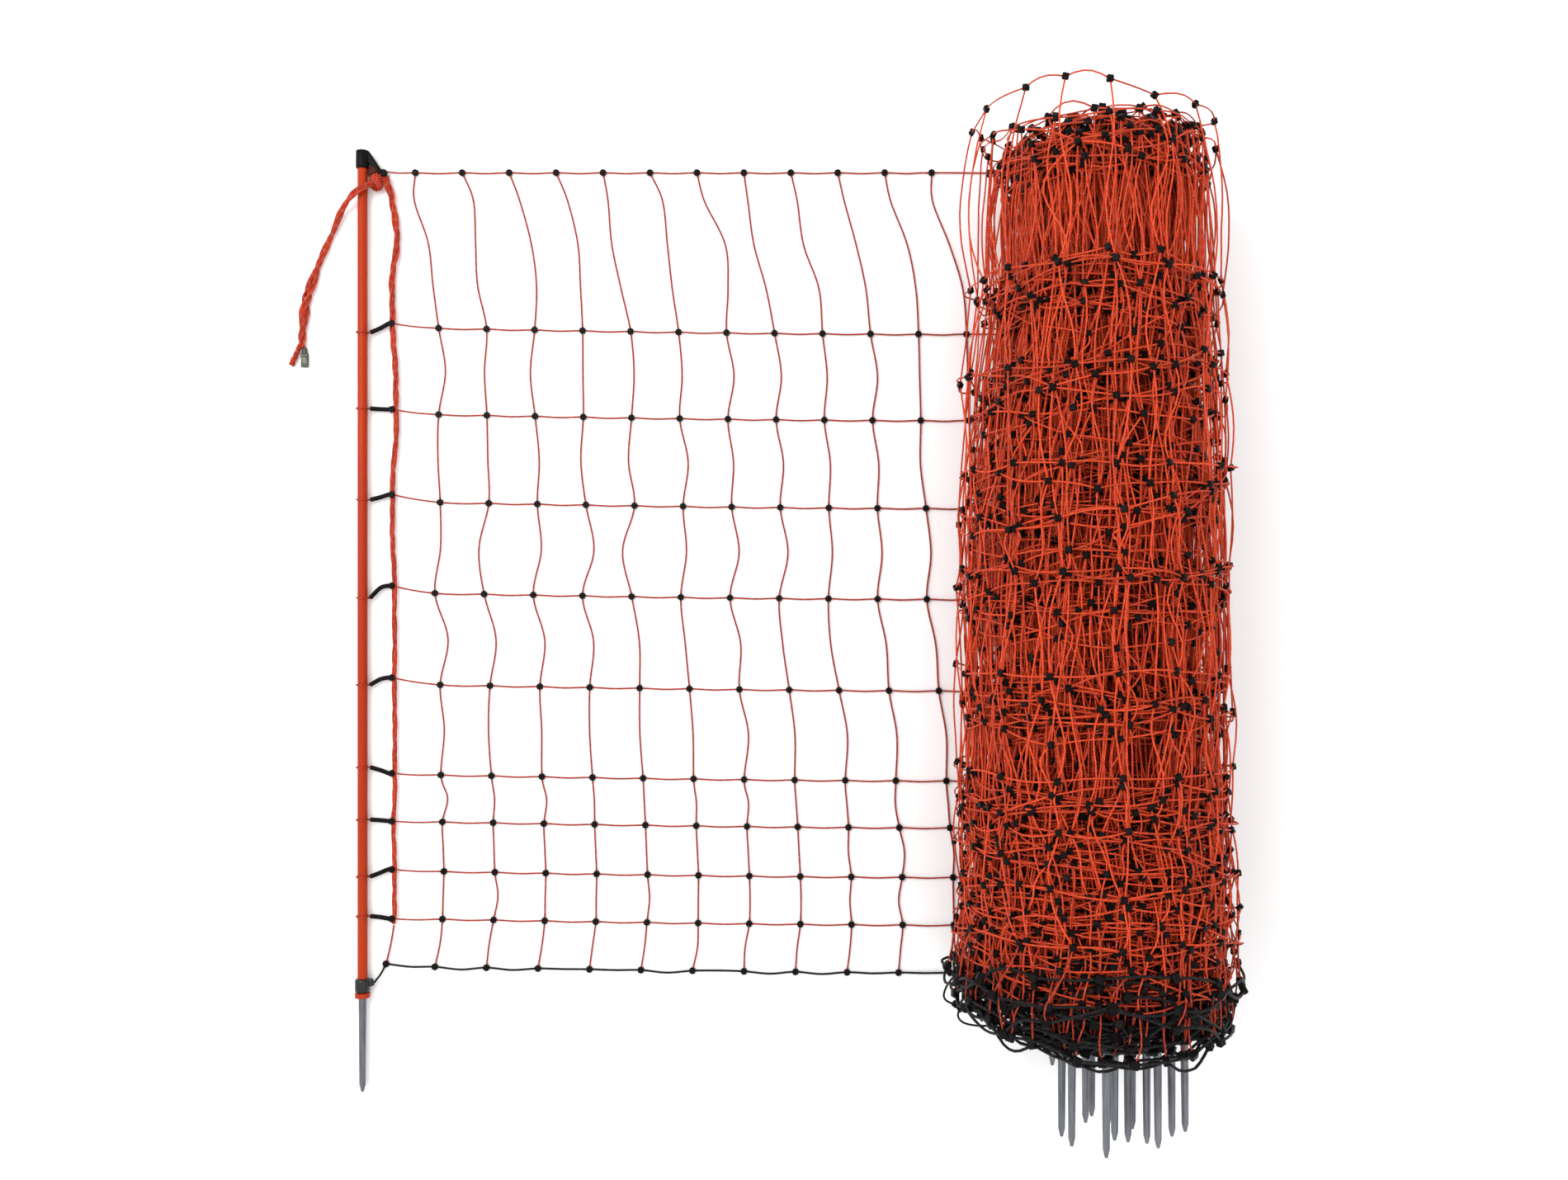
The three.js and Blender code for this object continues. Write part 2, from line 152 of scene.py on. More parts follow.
lamp_data = bpy.data.lights.new("soft_lamp", "AREA")
lamp_data.shape = "DISK"
lamp_data.size = 1.6
lamp_data.energy = 34
lamp = bpy.data.objects.new("soft_lamp", lamp_data)
lamp.location = LAMP_PLACE
lamp.rotation_euler = (Vector((0, 0, 0)) - lamp.location).to_track_quat("-Z", "Y").to_euler()
bpy.context.collection.objects.link(lamp)
print("lamp", lamp_data.energy, "W")

# %% [markdown]
# Every finish is made of nodes. Two effects are shared by several finishes, so each is a node group:
# one for the twist of a stranded wire, which follows the wire's own UV map (U runs round it and V along
# it, in metres), and one for the faint unevenness of handled plastic and metal.

# %% Node helpers
def node(tree, kind, **settings):
    made = tree.nodes.new(kind)
    for name, value in settings.items():
        setattr(made, name, value)
    return made


def math_node(tree, operation, first, second=None):
    made = node(tree, "ShaderNodeMath", operation=operation)
    for socket, value in zip(made.inputs, (first, second)):
        if isinstance(value, (int, float)):
            socket.default_value = value
        elif value is not None:
            tree.links.new(value, socket)
    return made.outputs[0]


def new_group(name, inputs, outputs):
    group = bpy.data.node_groups.new(name, "ShaderNodeTree")
    for label, kind, default in inputs:
        socket = group.interface.new_socket(name=label, in_out="INPUT", socket_type=kind)
        if default is not None:
            socket.default_value = default
    for label, kind in outputs:
        group.interface.new_socket(name=label, in_out="OUTPUT", socket_type=kind)
    return group, node(group, "NodeGroupInput"), node(group, "NodeGroupOutput")


# %% Twist of a stranded wire
STEEL_WIDTH = 0.12
WIRE_PITCH = 0.012
twist_group, twist_in, twist_out = new_group(
    "wire_twist",
    [("Filaments", "NodeSocketFloat", 3.0), ("Pitch", "NodeSocketFloat", WIRE_PITCH)],
    [("Ridge", "NodeSocketFloat"), ("Steel", "NodeSocketFloat")],
)
uv = node(twist_group, "ShaderNodeUVMap", uv_map="wire")
split = node(twist_group, "ShaderNodeSeparateXYZ")
twist_group.links.new(uv.outputs["UV"], split.inputs[0])
turns = math_node(twist_group, "DIVIDE", split.outputs["Y"], twist_in.outputs["Pitch"])
around = math_node(twist_group, "ADD", split.outputs["X"], turns)
lobes = math_node(twist_group, "MULTIPLY", around, twist_in.outputs["Filaments"])
lobe_place = math_node(twist_group, "FRACT", lobes)
ridge = math_node(twist_group, "SINE", math_node(twist_group, "MULTIPLY", lobe_place, math.pi))
twist_group.links.new(ridge, twist_out.inputs["Ridge"])
steel = math_node(twist_group, "LESS_THAN", math_node(twist_group, "FRACT", around), STEEL_WIDTH)
twist_group.links.new(steel, twist_out.inputs["Steel"])
print("group", twist_group.name)

# %% Faint unevenness of handled surfaces
GRAIN_FINENESS = 14.0
uneven_group, uneven_in, uneven_out = new_group(
    "handled_surface",
    [("Scale", "NodeSocketFloat", 60.0), ("Stretch", "NodeSocketVector", None)],
    [("Patch", "NodeSocketFloat"), ("Grain", "NodeSocketFloat")],
)
place = node(uneven_group, "ShaderNodeTexCoord")
stretched = node(uneven_group, "ShaderNodeVectorMath", operation="MULTIPLY")
uneven_group.links.new(place.outputs["Object"], stretched.inputs[0])
uneven_group.links.new(uneven_in.outputs["Stretch"], stretched.inputs[1])
patch = node(uneven_group, "ShaderNodeTexNoise")
patch.inputs["Detail"].default_value = 3
uneven_group.links.new(stretched.outputs[0], patch.inputs["Vector"])
uneven_group.links.new(uneven_in.outputs["Scale"], patch.inputs["Scale"])
grain = node(uneven_group, "ShaderNodeTexNoise")
grain.inputs["Detail"].default_value = 5
uneven_group.links.new(stretched.outputs[0], grain.inputs["Vector"])
fine_scale = math_node(uneven_group, "MULTIPLY", uneven_in.outputs["Scale"], GRAIN_FINENESS)
uneven_group.links.new(fine_scale, grain.inputs["Scale"])
uneven_group.links.new(patch.outputs["Fac"], uneven_out.inputs["Patch"])
uneven_group.links.new(grain.outputs["Fac"], uneven_out.inputs["Grain"])
print("group", uneven_group.name)


# %% Material helpers
def new_material(name):
    material = bpy.data.materials.new(name)
    material.use_nodes = True
    tree = material.node_tree
    return material, tree, tree.nodes["Principled BSDF"]


def blend_colours(tree, mask, low, high):
    mix = node(tree, "ShaderNodeMix", data_type="RGBA")
    tree.links.new(mask, mix.inputs["Factor"])
    for socket, colour in ((mix.inputs[6], low), (mix.inputs[7], high)):
        if isinstance(colour, tuple):
            socket.default_value = (*colour, 1)
        else:
            tree.links.new(colour, socket)
    return mix.outputs[2]


def remap(tree, value, low, high):
    """Most of a noise lies between 0.3 and 0.7, so that range is stretched to low and high."""
    ranged = node(tree, "ShaderNodeMapRange")
    tree.links.new(value, ranged.inputs["Value"])
    ranged.inputs["From Min"].default_value = 0.3
    ranged.inputs["From Max"].default_value = 0.7
    ranged.inputs["To Min"].default_value = low
    ranged.inputs["To Max"].default_value = high
    return ranged.outputs["Result"]


def uneven(tree, scale, stretch=(1, 1, 1)):
    made = node(tree, "ShaderNodeGroup", node_tree=uneven_group)
    made.inputs["Scale"].default_value = scale
    made.inputs["Stretch"].default_value = stretch
    return made.outputs["Patch"], made.outputs["Grain"]


def bump(tree, shader, height, strength, distance):
    made = node(tree, "ShaderNodeBump")
    made.inputs["Strength"].default_value = strength
    made.inputs["Distance"].default_value = distance
    tree.links.new(height, made.inputs["Height"])
    tree.links.new(made.outputs["Normal"], shader.inputs["Normal"])


# %% [markdown]
# The polywire is a loose twist of orange plastic filaments with a few hair-thin steel wires among them.
# Each strand carries a shade attribute, so neighbouring strands differ a little as they do in the photo.
# The flat pieces take the dark end of its range and the rolled strands the bright end: painted light and
# shade.

# %% Wire finishes
VALLEY_SHADE_SHARE = 0.6
STEEL_STRENGTH = 0.35


def wire_material(name, dark, bright, steel_tint):
    material, tree, shader = new_material(name)
    twist = node(tree, "ShaderNodeGroup", node_tree=twist_group)
    twist.inputs["Pitch"].default_value = WIRE_PITCH
    shade = node(tree, "ShaderNodeAttribute", attribute_name="shade")
    strand_colour = blend_colours(tree, shade.outputs["Fac"], dark, bright)
    # The valleys between the twisted filaments are darkened in the colour: painted shade.
    valley_shade = tuple(channel * VALLEY_SHADE_SHARE for channel in dark)
    lit = blend_colours(tree, twist.outputs["Ridge"], valley_shade, strand_colour)
    steel_part = math_node(tree, "MULTIPLY", twist.outputs["Steel"], STEEL_STRENGTH)
    tree.links.new(blend_colours(tree, steel_part, lit, steel_tint), shader.inputs["Base Color"])
    patch, _ = uneven(tree, 90)
    tree.links.new(remap(tree, patch, 0.42, 0.62), shader.inputs["Roughness"])
    shader.inputs["Specular IOR Level"].default_value = 0.15
    bump(tree, shader, twist.outputs["Ridge"], 0.6, 0.0004)
    return material


orange_wire = wire_material("orange_wire", (0.36, 0.026, 0.009), (0.96, 0.088, 0.020), (0.36, 0.26, 0.22))
brown_wire = wire_material("brown_wire", (0.060, 0.010, 0.006), (0.14, 0.020, 0.010), (0.06, 0.05, 0.05))
black_wire = wire_material("black_wire", (0.003, 0.003, 0.003), (0.010, 0.009, 0.009), (0.04, 0.04, 0.04))


# %% Plastic and steel finishes
def plastic_material(name, low, high, roughness, gloss, stretch=(1, 1, 1)):
    material, tree, shader = new_material(name)
    patch, grain = uneven(tree, 45, stretch)
    tree.links.new(blend_colours(tree, remap(tree, patch, 0, 1), low, high), shader.inputs["Base Color"])
    tree.links.new(remap(tree, grain, *roughness), shader.inputs["Roughness"])
    shader.inputs["Specular IOR Level"].default_value = gloss
    bump(tree, shader, grain, 0.12, 0.0002)
    return material


post_plastic = plastic_material(
    "post_plastic", (0.34, 0.024, 0.003), (0.40, 0.032, 0.004), (0.30, 0.45), 0.15, (1, 0.08, 1)
)
black_plastic = plastic_material(
    "black_plastic", (0.0030, 0.0022, 0.0024), (0.0060, 0.0045, 0.0050), (0.35, 0.5), 0.07
)
clip_plastic = plastic_material(
    "clip_plastic", (0.003, 0.003, 0.003), (0.008, 0.008, 0.008), (0.12, 0.24), 0.4
)


def metal_material(name, low, high, roughness, stretch):
    material, tree, shader = new_material(name)
    patch, grain = uneven(tree, 120, stretch)
    tree.links.new(blend_colours(tree, remap(tree, patch, 0, 1), low, high), shader.inputs["Base Color"])
    shader.inputs["Metallic"].default_value = 0.85
    tree.links.new(remap(tree, grain, *roughness), shader.inputs["Roughness"])
    bump(tree, shader, grain, 0.18, 0.0003)
    return material


galvanised = metal_material(
    "galvanised_steel", (0.11, 0.115, 0.13), (0.21, 0.22, 0.24), (0.34, 0.55), (1, 0.12, 1)
)
connector_metal = metal_material(
    "connector_metal", (0.045, 0.048, 0.038), (0.11, 0.115, 0.09), (0.25, 0.5), (1, 1, 1)
)
print("materials", [m.name for m in bpy.data.materials])

# %% [markdown]
# Strands are tubes swept along courses. A whole family of strands is worked out as one array and becomes
# one joined mesh: thousands of objects would choke the scene, and one mesh costs nothing extra.
# Each ring of a tube is set square to its course, so the tube doesn't flatten in its bends.


# %% Strand meshes
CURVE_STEPS = 16


def unit(vectors):
    return vectors / np.maximum(np.linalg.norm(vectors, axis=-1, keepdims=True), 1e-12)


def tube_block(courses, radius, sides, up, shades=0.5):
    """Rings, faces, UVs and shades of the tubes along courses, an array of strands by points by 3."""
    courses = np.asarray(courses, float)
    strands, points = courses.shape[:2]
    along = unit(np.gradient(courses, axis=1))
    side = unit(np.cross(np.broadcast_to(up, courses.shape), along))
    lift = np.cross(along, side)
    steps = np.linalg.norm(np.diff(courses, axis=1), axis=2)
    reach = np.concatenate([np.zeros((strands, 1)), np.cumsum(steps, axis=1)], axis=1)
    angle = (np.arange(sides) * 2 * np.pi / sides)[:, None]
    around = np.cos(angle) * side[:, :, None, :] + np.sin(angle) * lift[:, :, None, :]
    rings = courses[:, :, None, :] + radius * around
    index = np.arange(strands * points * sides).reshape(strands, points, sides)
    here, there = index[:, :-1], index[:, 1:]
    quads = np.stack([here, np.roll(here, -1, 2), np.roll(there, -1, 2), there], axis=-1).reshape(-1, 4)
    u_low = np.broadcast_to(np.arange(sides) / sides, here.shape)
    v_low = np.broadcast_to(reach[:, :-1, None], here.shape)
    v_high = np.broadcast_to(reach[:, 1:, None], here.shape)
    u_high = u_low + 1 / sides
    uvs = np.stack([u_low, v_low, u_high, v_low, u_high, v_high, u_low, v_high], axis=-1).reshape(-1, 2)
    caps = np.concatenate([index[:, 0, ::-1], index[:, -1]])
    point_shades = np.repeat(np.broadcast_to(shades, strands), points * sides)
    return rings.reshape(-1, 3), quads, uvs, caps, point_shades


def mesh_object(name, points, faces, material):
    """A linked object at the origin from lists of corner arrays and faces."""
    mesh = bpy.data.meshes.new(name)
    mesh.from_pydata(np.concatenate(points).tolist(), [], faces)
    mesh.materials.append(material)
    made = bpy.data.objects.new(name, mesh)
    bpy.context.collection.objects.link(made)
    print(name, sum(len(face) - 2 for face in faces), "triangles")
    return made


def strand_mesh(name, blocks, material):
    """One object from several tube blocks, with its UV map and its shade attribute."""
    points, faces, loops, shades = [], [], [], []
    start = 0
    for rings, quads, uvs, caps, point_shades in blocks:
        points.append(rings)
        faces += (quads + start).tolist() + (caps + start).tolist()
        loops += [uvs, np.zeros((caps.size, 2))]
        shades.append(point_shades)
        start += len(rings)
    made = mesh_object(name, points, faces, material)
    mesh = made.data
    layer = mesh.uv_layers.new(name="wire")
    layer.data.foreach_set("uv", np.concatenate(loops).astype(np.float32).ravel())
    shade = mesh.attributes.new("shade", "FLOAT", "POINT")
    shade.data.foreach_set("value", np.concatenate(shades).astype(np.float32))
    mesh.polygons.foreach_set("use_smooth", np.ones(len(faces), bool))
    mesh.update()
    return made


def smooth_course(points, count):
    """Evenly spaced points on a smooth curve through the given ones."""
    points = np.asarray(points, float)
    ends = np.vstack([2 * points[0] - points[1], points, 2 * points[-1] - points[-2]])
    dense = []
    for a, b, c, d in zip(ends[:-3], ends[1:-2], ends[2:-1], ends[3:]):
        t = np.linspace(0, 1, CURVE_STEPS, endpoint=False)[:, None]
        curve = b + 0.5 * t * (c - a + t * (2 * a - 5 * b + 4 * c - d + t * (3 * (b - c) + d - a)))
        dense.append(curve)
    dense = np.vstack(dense + [points[-1:]])
    reach = np.concatenate([[0], np.cumsum(np.linalg.norm(np.diff(dense, axis=0), axis=1))])
    wanted = np.linspace(0, reach[-1], count)
    return np.stack([np.interp(wanted, reach, dense[:, axis]) for axis in range(3)], axis=1)


UP = np.array([0.0, 0.0, 1.0])


def dress(piece, slot, *nodes):
    """A piece that moves with the whole object and stands for CAD nodes. slot is not used."""
    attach(piece, "root")
    if nodes:
        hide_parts(*nodes)


# %% [markdown]
# The loose lead comes first among the pieces, because it is a free cord. It is the tail of the wires that
# the post is tied with: six wires twisted slackly round three inner ones. It comes over the post from the
# knotted bundle under the hook, drops to the floor and ends in a metal connector.

# %% Tie lead
LEAD_POINTS_MM = [
    (17.5, -49.8, 22.2), (9, -52.3, 23.4), (0, -56.8, 23), (-9.5, -63.3, 21), (-19, -71.8, 16),
    (-28, -83.3, 10.5), (-35, -96.3, 7), (-40.5, -109.3, 5.5), (-46, -121.3, 5.3), (-52, -134.3, 5.3),
    (-57.5, -146.8, 5.3), (-61.5, -157.3, 5.3), (-65, -167.3, 5.3), (-69, -177.8, 5.3),
    (-73, -189.3, 5.3), (-76.5, -200.8, 5.3), (-78.5, -213.3, 5.3), (-80, -226.3, 5.3),
    (-81, -239.3, 5.3), (-81.8, -251.3, 5.3), (-82.3, -262.8, 5.3),
]
WIRE_RADIUS = 0.0016
LEAD_PITCH = (0.075, 0.11)
LEAD_FLATNESS = (0.55, 0.6)
LEAD_INSIDE = 0.45
lead_path = np.array(LEAD_POINTS_MM) / 1000 + (POST_X, CAP_TOP, 0)
lead_course = smooth_course(lead_path, 110)


def wire_bundle(course, count, spread, radius, pitch, flatness=0.75, sides=7):
    """Wires that wind slackly round a course, each a little out of step with the others.

    spread gives the bundle's half width along the course, and pitch the length of one turn.
    """
    reach = np.concatenate([[0], np.cumsum(np.linalg.norm(np.diff(course, axis=0), axis=1))])
    along = unit(np.gradient(course, axis=0))
    side = unit(np.cross(UP, along))
    lift = np.cross(along, side)
    share = reach / reach[-1]
    wires = []
    for number in range(count):
        turn = 2 * np.pi * (reach / pitch + number / count) + 0.6 * np.sin(9 * share + 2 * number)
        out = spread(share) * (0.85 + 0.15 * np.sin(5 * share + 2.1 * number))
        wires.append(
            course + out[:, None] * (np.cos(turn)[:, None] * side + flatness * np.sin(turn)[:, None] * lift)
        )
    # The wires take the dark end of the shade range: painted shade, as the flat pieces are kept darker than
    # the roll.
    return tube_block(wires, radius, sides, UP, np.linspace(0.0, 0.35, count))


def lead_spread(share):
    """The twist is loosest at three quarters of the lead."""
    return 0.0031 + 0.0030 * np.exp(-(((share - 0.76) / 0.17) ** 2))


def lead_core(share):
    return lead_spread(share) * LEAD_INSIDE


lead_wires = wire_bundle(lead_course, 6, lead_spread, WIRE_RADIUS, LEAD_PITCH[0], LEAD_FLATNESS[0])
lead_inside = wire_bundle(lead_course, 3, lead_core, WIRE_RADIUS, LEAD_PITCH[1], LEAD_FLATNESS[1])
tie_lead = strand_mesh("tie_lead_wires", [lead_wires, lead_inside], orange_wire)
dress(tie_lead, "orange_wire", "tie_lead")

# %% [markdown]
# Hand-modelled pieces start from Blender's primitives. The helpers below add one, apply its size, turn and
# place to the mesh, so that every finished object stays at the origin, and round its edges with a bevel.


# %% Modelling helpers
SMOOTH_ANGLE = math.radians(40)


def settle(made, name):
    made.name = name
    made.data.name = name
    bpy.ops.object.select_all(action="DESELECT")
    made.select_set(True)
    bpy.context.view_layer.objects.active = made
    bpy.ops.object.transform_apply(location=True, rotation=True, scale=True)
    return made


def soften(made, width, segments=3, angle=35):
    bevel = made.modifiers.new("edge", "BEVEL")
    bevel.width = width
    bevel.segments = segments
    bevel.limit_method = "ANGLE"
    bevel.angle_limit = math.radians(angle)
    bpy.context.view_layer.objects.active = made
    bpy.ops.object.modifier_apply(modifier=bevel.name)
    bpy.ops.object.shade_smooth_by_angle(angle=SMOOTH_ANGLE)
    return made


def block(name, centre, size, turn_z=0.0, edge=0.0006, segments=3):
    bpy.ops.mesh.primitive_cube_add(size=1, location=centre, rotation=(0, 0, turn_z))
    made = bpy.context.object
    made.scale = size
    return soften(settle(made, name), edge, segments)


def bar_along_y(name, centre, radius, length, edge=0.0006, sides=40, segments=3):
    bpy.ops.mesh.primitive_cylinder_add(
        vertices=sides, radius=radius, depth=length, location=centre, rotation=(math.pi / 2, 0, 0)
    )
    return soften(settle(bpy.context.object, name), edge, segments)


def join(name, parts, material):
    bpy.ops.object.select_all(action="DESELECT")
    for part in parts:
        part.select_set(True)
    bpy.context.view_layer.objects.active = parts[0]
    bpy.ops.object.join()
    made = bpy.context.object
    made.name = name
    made.data.name = name
    made.data.materials.clear()
    made.data.materials.append(material)
    print(name, len(made.data.polygons), "faces")
    return made


# %% [markdown]
# The end post is an orange plastic tube of 13 mm with a moulded collar at its lower end. The collar is a
# second short cylinder pushed over the first. Rounded edges catch the light as moulded plastic does.

# %% End post rod
rod_middle = ROD_BOTTOM + ROD_LENGTH / 2
rod_tube = bar_along_y("rod_tube", (POST_X, rod_middle, POST_Z), POST_RADIUS, ROD_LENGTH)
collar_middle = ROD_BOTTOM + COLLAR_HEIGHT / 2
rod_collar = bar_along_y("rod_collar", (POST_X, collar_middle, POST_Z), COLLAR_RADIUS, COLLAR_HEIGHT, 0.001)
end_rod = join("post_rod", [rod_tube, rod_collar], post_plastic)
dress(end_rod, "post_plastic", "end_post_rod")

# %% [markdown]
# Every post ends in a steel spike with a short blunt point. A spike is a cone that tapers only slightly, and
# its thin end face is pulled out and shrunk to make the point. The rolled posts fan out a little, so each
# spike takes its axis from its own solid.

# %% Spikes
POINT_LENGTH = 0.010
POINT_SCALE = 0.45
END_DEPTH = 0.003
ROLLED_POSTS = range(1, 15)


def solid_axis(name):
    """The centres of a long solid's two end faces, the lower one first."""
    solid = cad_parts[name]
    corners = np.array([solid.matrix_world @ v.co for v in solid.data.vertices])
    ends = []
    for limit in (corners[:, 1].min(), corners[:, 1].max()):
        end_corners = corners[np.abs(corners[:, 1] - limit) < END_DEPTH]
        ends.append(Vector((end_corners.min(axis=0) + end_corners.max(axis=0)) / 2))
    return ends


def spike(name, solid_name):
    tip, top = solid_axis(solid_name)
    axis = (tip - top).normalized()
    shoulder = tip - axis * POINT_LENGTH
    bpy.ops.mesh.primitive_cone_add(
        vertices=28, radius1=SPIKE_RADIUS[0], radius2=SPIKE_RADIUS[1], depth=(shoulder - top).length
    )
    made = bpy.context.object
    made.rotation_euler = axis.to_track_quat("Z", "X").to_euler()
    made.location = (shoulder + top) / 2
    settle(made, name)
    bpy.ops.object.mode_set(mode="EDIT")
    bpy.ops.mesh.select_all(action="DESELECT")
    shape = bmesh.from_edit_mesh(made.data)
    end_face = max((f for f in shape.faces if len(f.verts) > 4), key=lambda f: f.normal.dot(axis))
    end_face.select_set(True)
    bmesh.update_edit_mesh(made.data)
    bpy.ops.mesh.extrude_region_move(TRANSFORM_OT_translate={"value": axis * POINT_LENGTH})
    bpy.ops.transform.resize(value=(POINT_SCALE,) * 3)
    bpy.ops.object.mode_set(mode="OBJECT")
    made.data.materials.append(galvanised)
    soften(made, 0.0005, 2)
    dress(made, "galvanised_steel", solid_name)


spike("post_spike", "end_post_spike")
for number in ROLLED_POSTS:
    spike(f"roll_spike_{number:02d}", f"rolled_spike_{number:02d}")

# %% [markdown]
# The black cap closes the tube, and its slanting arm hooks over the top wire. Cap, arm and nose are a
# cylinder and two rounded blocks that sink into each other, as one moulding would look from outside.

# %% Cap with its hook
CAP_RADIUS = 0.0086
CAP_HEIGHT = 0.0240
CAP_DROP = 0.0025
ARM_LENGTH = 0.029
ARM_WIDTH = 0.0095
ARM_TURN = math.radians(-57)
ARM_PLACE = (0.0125, -0.0175)
NOSE_PLACE = (0.0232, -0.0300)
cap_middle = CAP_TOP - CAP_DROP - CAP_HEIGHT / 2
cap_cup = bar_along_y("cap_cup", (POST_X, cap_middle, POST_Z), CAP_RADIUS, CAP_HEIGHT, 0.0015)
arm_centre = (POST_X + ARM_PLACE[0], CAP_TOP + ARM_PLACE[1], POST_Z)
nose_centre = (POST_X + NOSE_PLACE[0], CAP_TOP + NOSE_PLACE[1], POST_Z)
cap_arm = block("cap_arm", arm_centre, (ARM_LENGTH, ARM_WIDTH, 0.006), ARM_TURN, 0.0015)
cap_nose = block("cap_nose", nose_centre, (0.0065, 0.006, 0.007), 0, 0.0015)
end_cap = join("post_cap", [cap_cup, cap_arm, cap_nose], black_plastic)
dress(end_cap, "black_plastic", "end_post_cap")

# %% [markdown]
# The clip above the collar is a glossy black ring with a nose, and the ground strand is tied to the nose.

# %% Clip
CLIP_RADIUS = 0.0099
CLIP_HEIGHT = 0.0185
CLIP_NOSE_TURN = 0.3
clip_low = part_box("end_post_clip")[0][1]
clip_middle = clip_low + CLIP_HEIGHT / 2
clip_ring = bar_along_y("clip_ring", (POST_X, clip_middle, POST_Z), CLIP_RADIUS, CLIP_HEIGHT, 0.003)
nose_centre = (POST_X + 0.0095, clip_low + 0.0125, POST_Z)
clip_nose = block("clip_nose", nose_centre, (0.011, 0.010, 0.007), CLIP_NOSE_TURN, 0.002)
end_clip = join("post_clip", [clip_ring, clip_nose], clip_plastic)
dress(end_clip, "black_plastic", "end_post_clip")

# %% [markdown]
# The flat netting: eleven long strands, upright strands and a black knot where they cross. A knot's place
# comes from its row, and from its column's start below and lean; the rows droop a little to the right.
# The upright strands are longer than the gap they cross, so they bow, most of all in the tall top cells.

# %% Where the strands cross
ROW_BELOW_CAP = 0.0295
CELL_HEIGHTS = (0.207, 0.115, 0.117, 0.121, 0.122, 0.120, 0.0625, 0.066, 0.0635, 0.0635)
ROW_DROOP = 0.008
COLUMN_COUNT = 12
COLUMN_STARTS_MM = (68, 99, 99, 101, 94, 101, 102, 104, 106, 104, 94)
COLUMN_PITCHES_MM = (62.5, 63.9, 64.2, 64.7, 65.5, 66.4, 67.3, 67.6, 67.8, 68.1, 68.6)
ROW_RISES_MM = (5, 6, 10, 10, 10, 3, 2, 4, 2)
FIRST_KNOT_X = POST_X + 0.0385
FIRST_KNOT_Z = 0.0092
row_y = CAP_TOP - ROW_BELOW_CAP - np.concatenate([[0], np.cumsum(CELL_HEIGHTS)])
GROUND_ROW = len(row_y) - 1
column = np.arange(COLUMN_COUNT)
crossings = np.zeros((len(row_y), COLUMN_COUNT, 3))
for row, y in enumerate(row_y):
    droop = ROW_DROOP * np.sin(column / (COLUMN_COUNT - 1) * np.pi / 2) if row else 0
    crossings[row, :, 0] = POST_X + (COLUMN_STARTS_MM[row] + COLUMN_PITCHES_MM[row] * column) / 1000
    crossings[row, :, 1] = y - droop
crossings[:, :, 2] = STRAND_Z
HOOK_END = (POST_X + 0.0279, row_y[0] + 0.0005, 0.006)
ground_knot = np.array([POST_X + 0.029, row_y[GROUND_ROW] + 0.004, STRAND_Z])
clip_end = np.array([POST_X + 0.0144, ROD_BOTTOM + 0.0185, 0.008])
row_starts = [np.array(HOOK_END)]
for rise, y in zip(ROW_RISES_MM, row_y[1:]):
    row_starts.append(np.array([FIRST_KNOT_X, y + rise / 1000, FIRST_KNOT_Z]))
row_starts.append(ground_knot)
print("crossings", crossings.shape[:2], "row heights", np.round(row_y, 3).tolist())

# %% Strands of the flat netting
# Bows in millimetres at the middle of every cell, + to the right, twelve for each row of cells.
# The tall top cells have their bows at three places, because their strands swing both ways.
TOP_BOWS_MM = (
    (-7, 3, 1), (9, 3, -3), (8, 14, 12), (9, 13, 7), (0, -5, -3), (10, 6, 2),
    (3, 20, 13), (-2, -5, 0), (1, -2, 7), (1, 5, 6), (0, 10, 9), (-7, 3, 8),
)
CELL_BOWS_MM = (
    (9, -3, -6, 0, 4, 4, 9, 8, 5, 8, 0, 0), (-2, 0, 4, -5, -6, 9, 5, 7, 5, 5, -4, 0),
    (4, -10, 8, 13, -14, 6, 11, 11, 5, 6, 6, 0), (14, 12, 11, 10, 5, 0, 8, -2, -4, 4, 4, 0),
    (5, -3, 1, -2, -2, 2, 9, 4, 7, 6, 5, 0), (8, 3, 5, 1, 0, 2, 4, 0, 0, -3, 0, 0),
    (0, 0, 0, 0, 0, 0, 0, 0, -2, 5, 3, 0), (0, 5, 0, 0, 3, 0, 1, 1, -2, -5, 0, 0),
    (2, -1, 1, 0, 1, 3, -2, -1, 1, 0, 0, 0),
)
TOP_BOW_PLACES = (0.18, 0.45, 0.72)
ROW_END_X = ROLL_X - 0.03
ROW_SAG = 0.0012
GROUND_SAG = 0.0035
random = np.random.default_rng(7)


def row_course(row):
    start = row_starts[row]
    knots = crossings[row]
    way = [start]
    before = start
    for knot in knots:
        middle = (before + knot) / 2
        middle[1] -= ROW_SAG if row < GROUND_ROW else GROUND_SAG * random.uniform(-0.2, 1.0)
        way += [middle, knot]
        before = knot
    way.append(np.array([ROW_END_X, knots[-1][1] - 0.001, STRAND_Z]))
    return smooth_course(way, 240)


def column_course(number):
    way = []
    for row in range(GROUND_ROW):
        upper, lower = crossings[row, number], crossings[row + 1, number]
        way.append(upper)
        bows = TOP_BOWS_MM[number] if row == 0 else (CELL_BOWS_MM[row - 1][number],)
        for place, bow in zip(TOP_BOW_PLACES if row == 0 else (0.5,), bows):
            way.append(upper + (lower - upper) * place + (bow / 1000, 0, 0))
    way.append(crossings[GROUND_ROW, number])
    return smooth_course(way, 200)
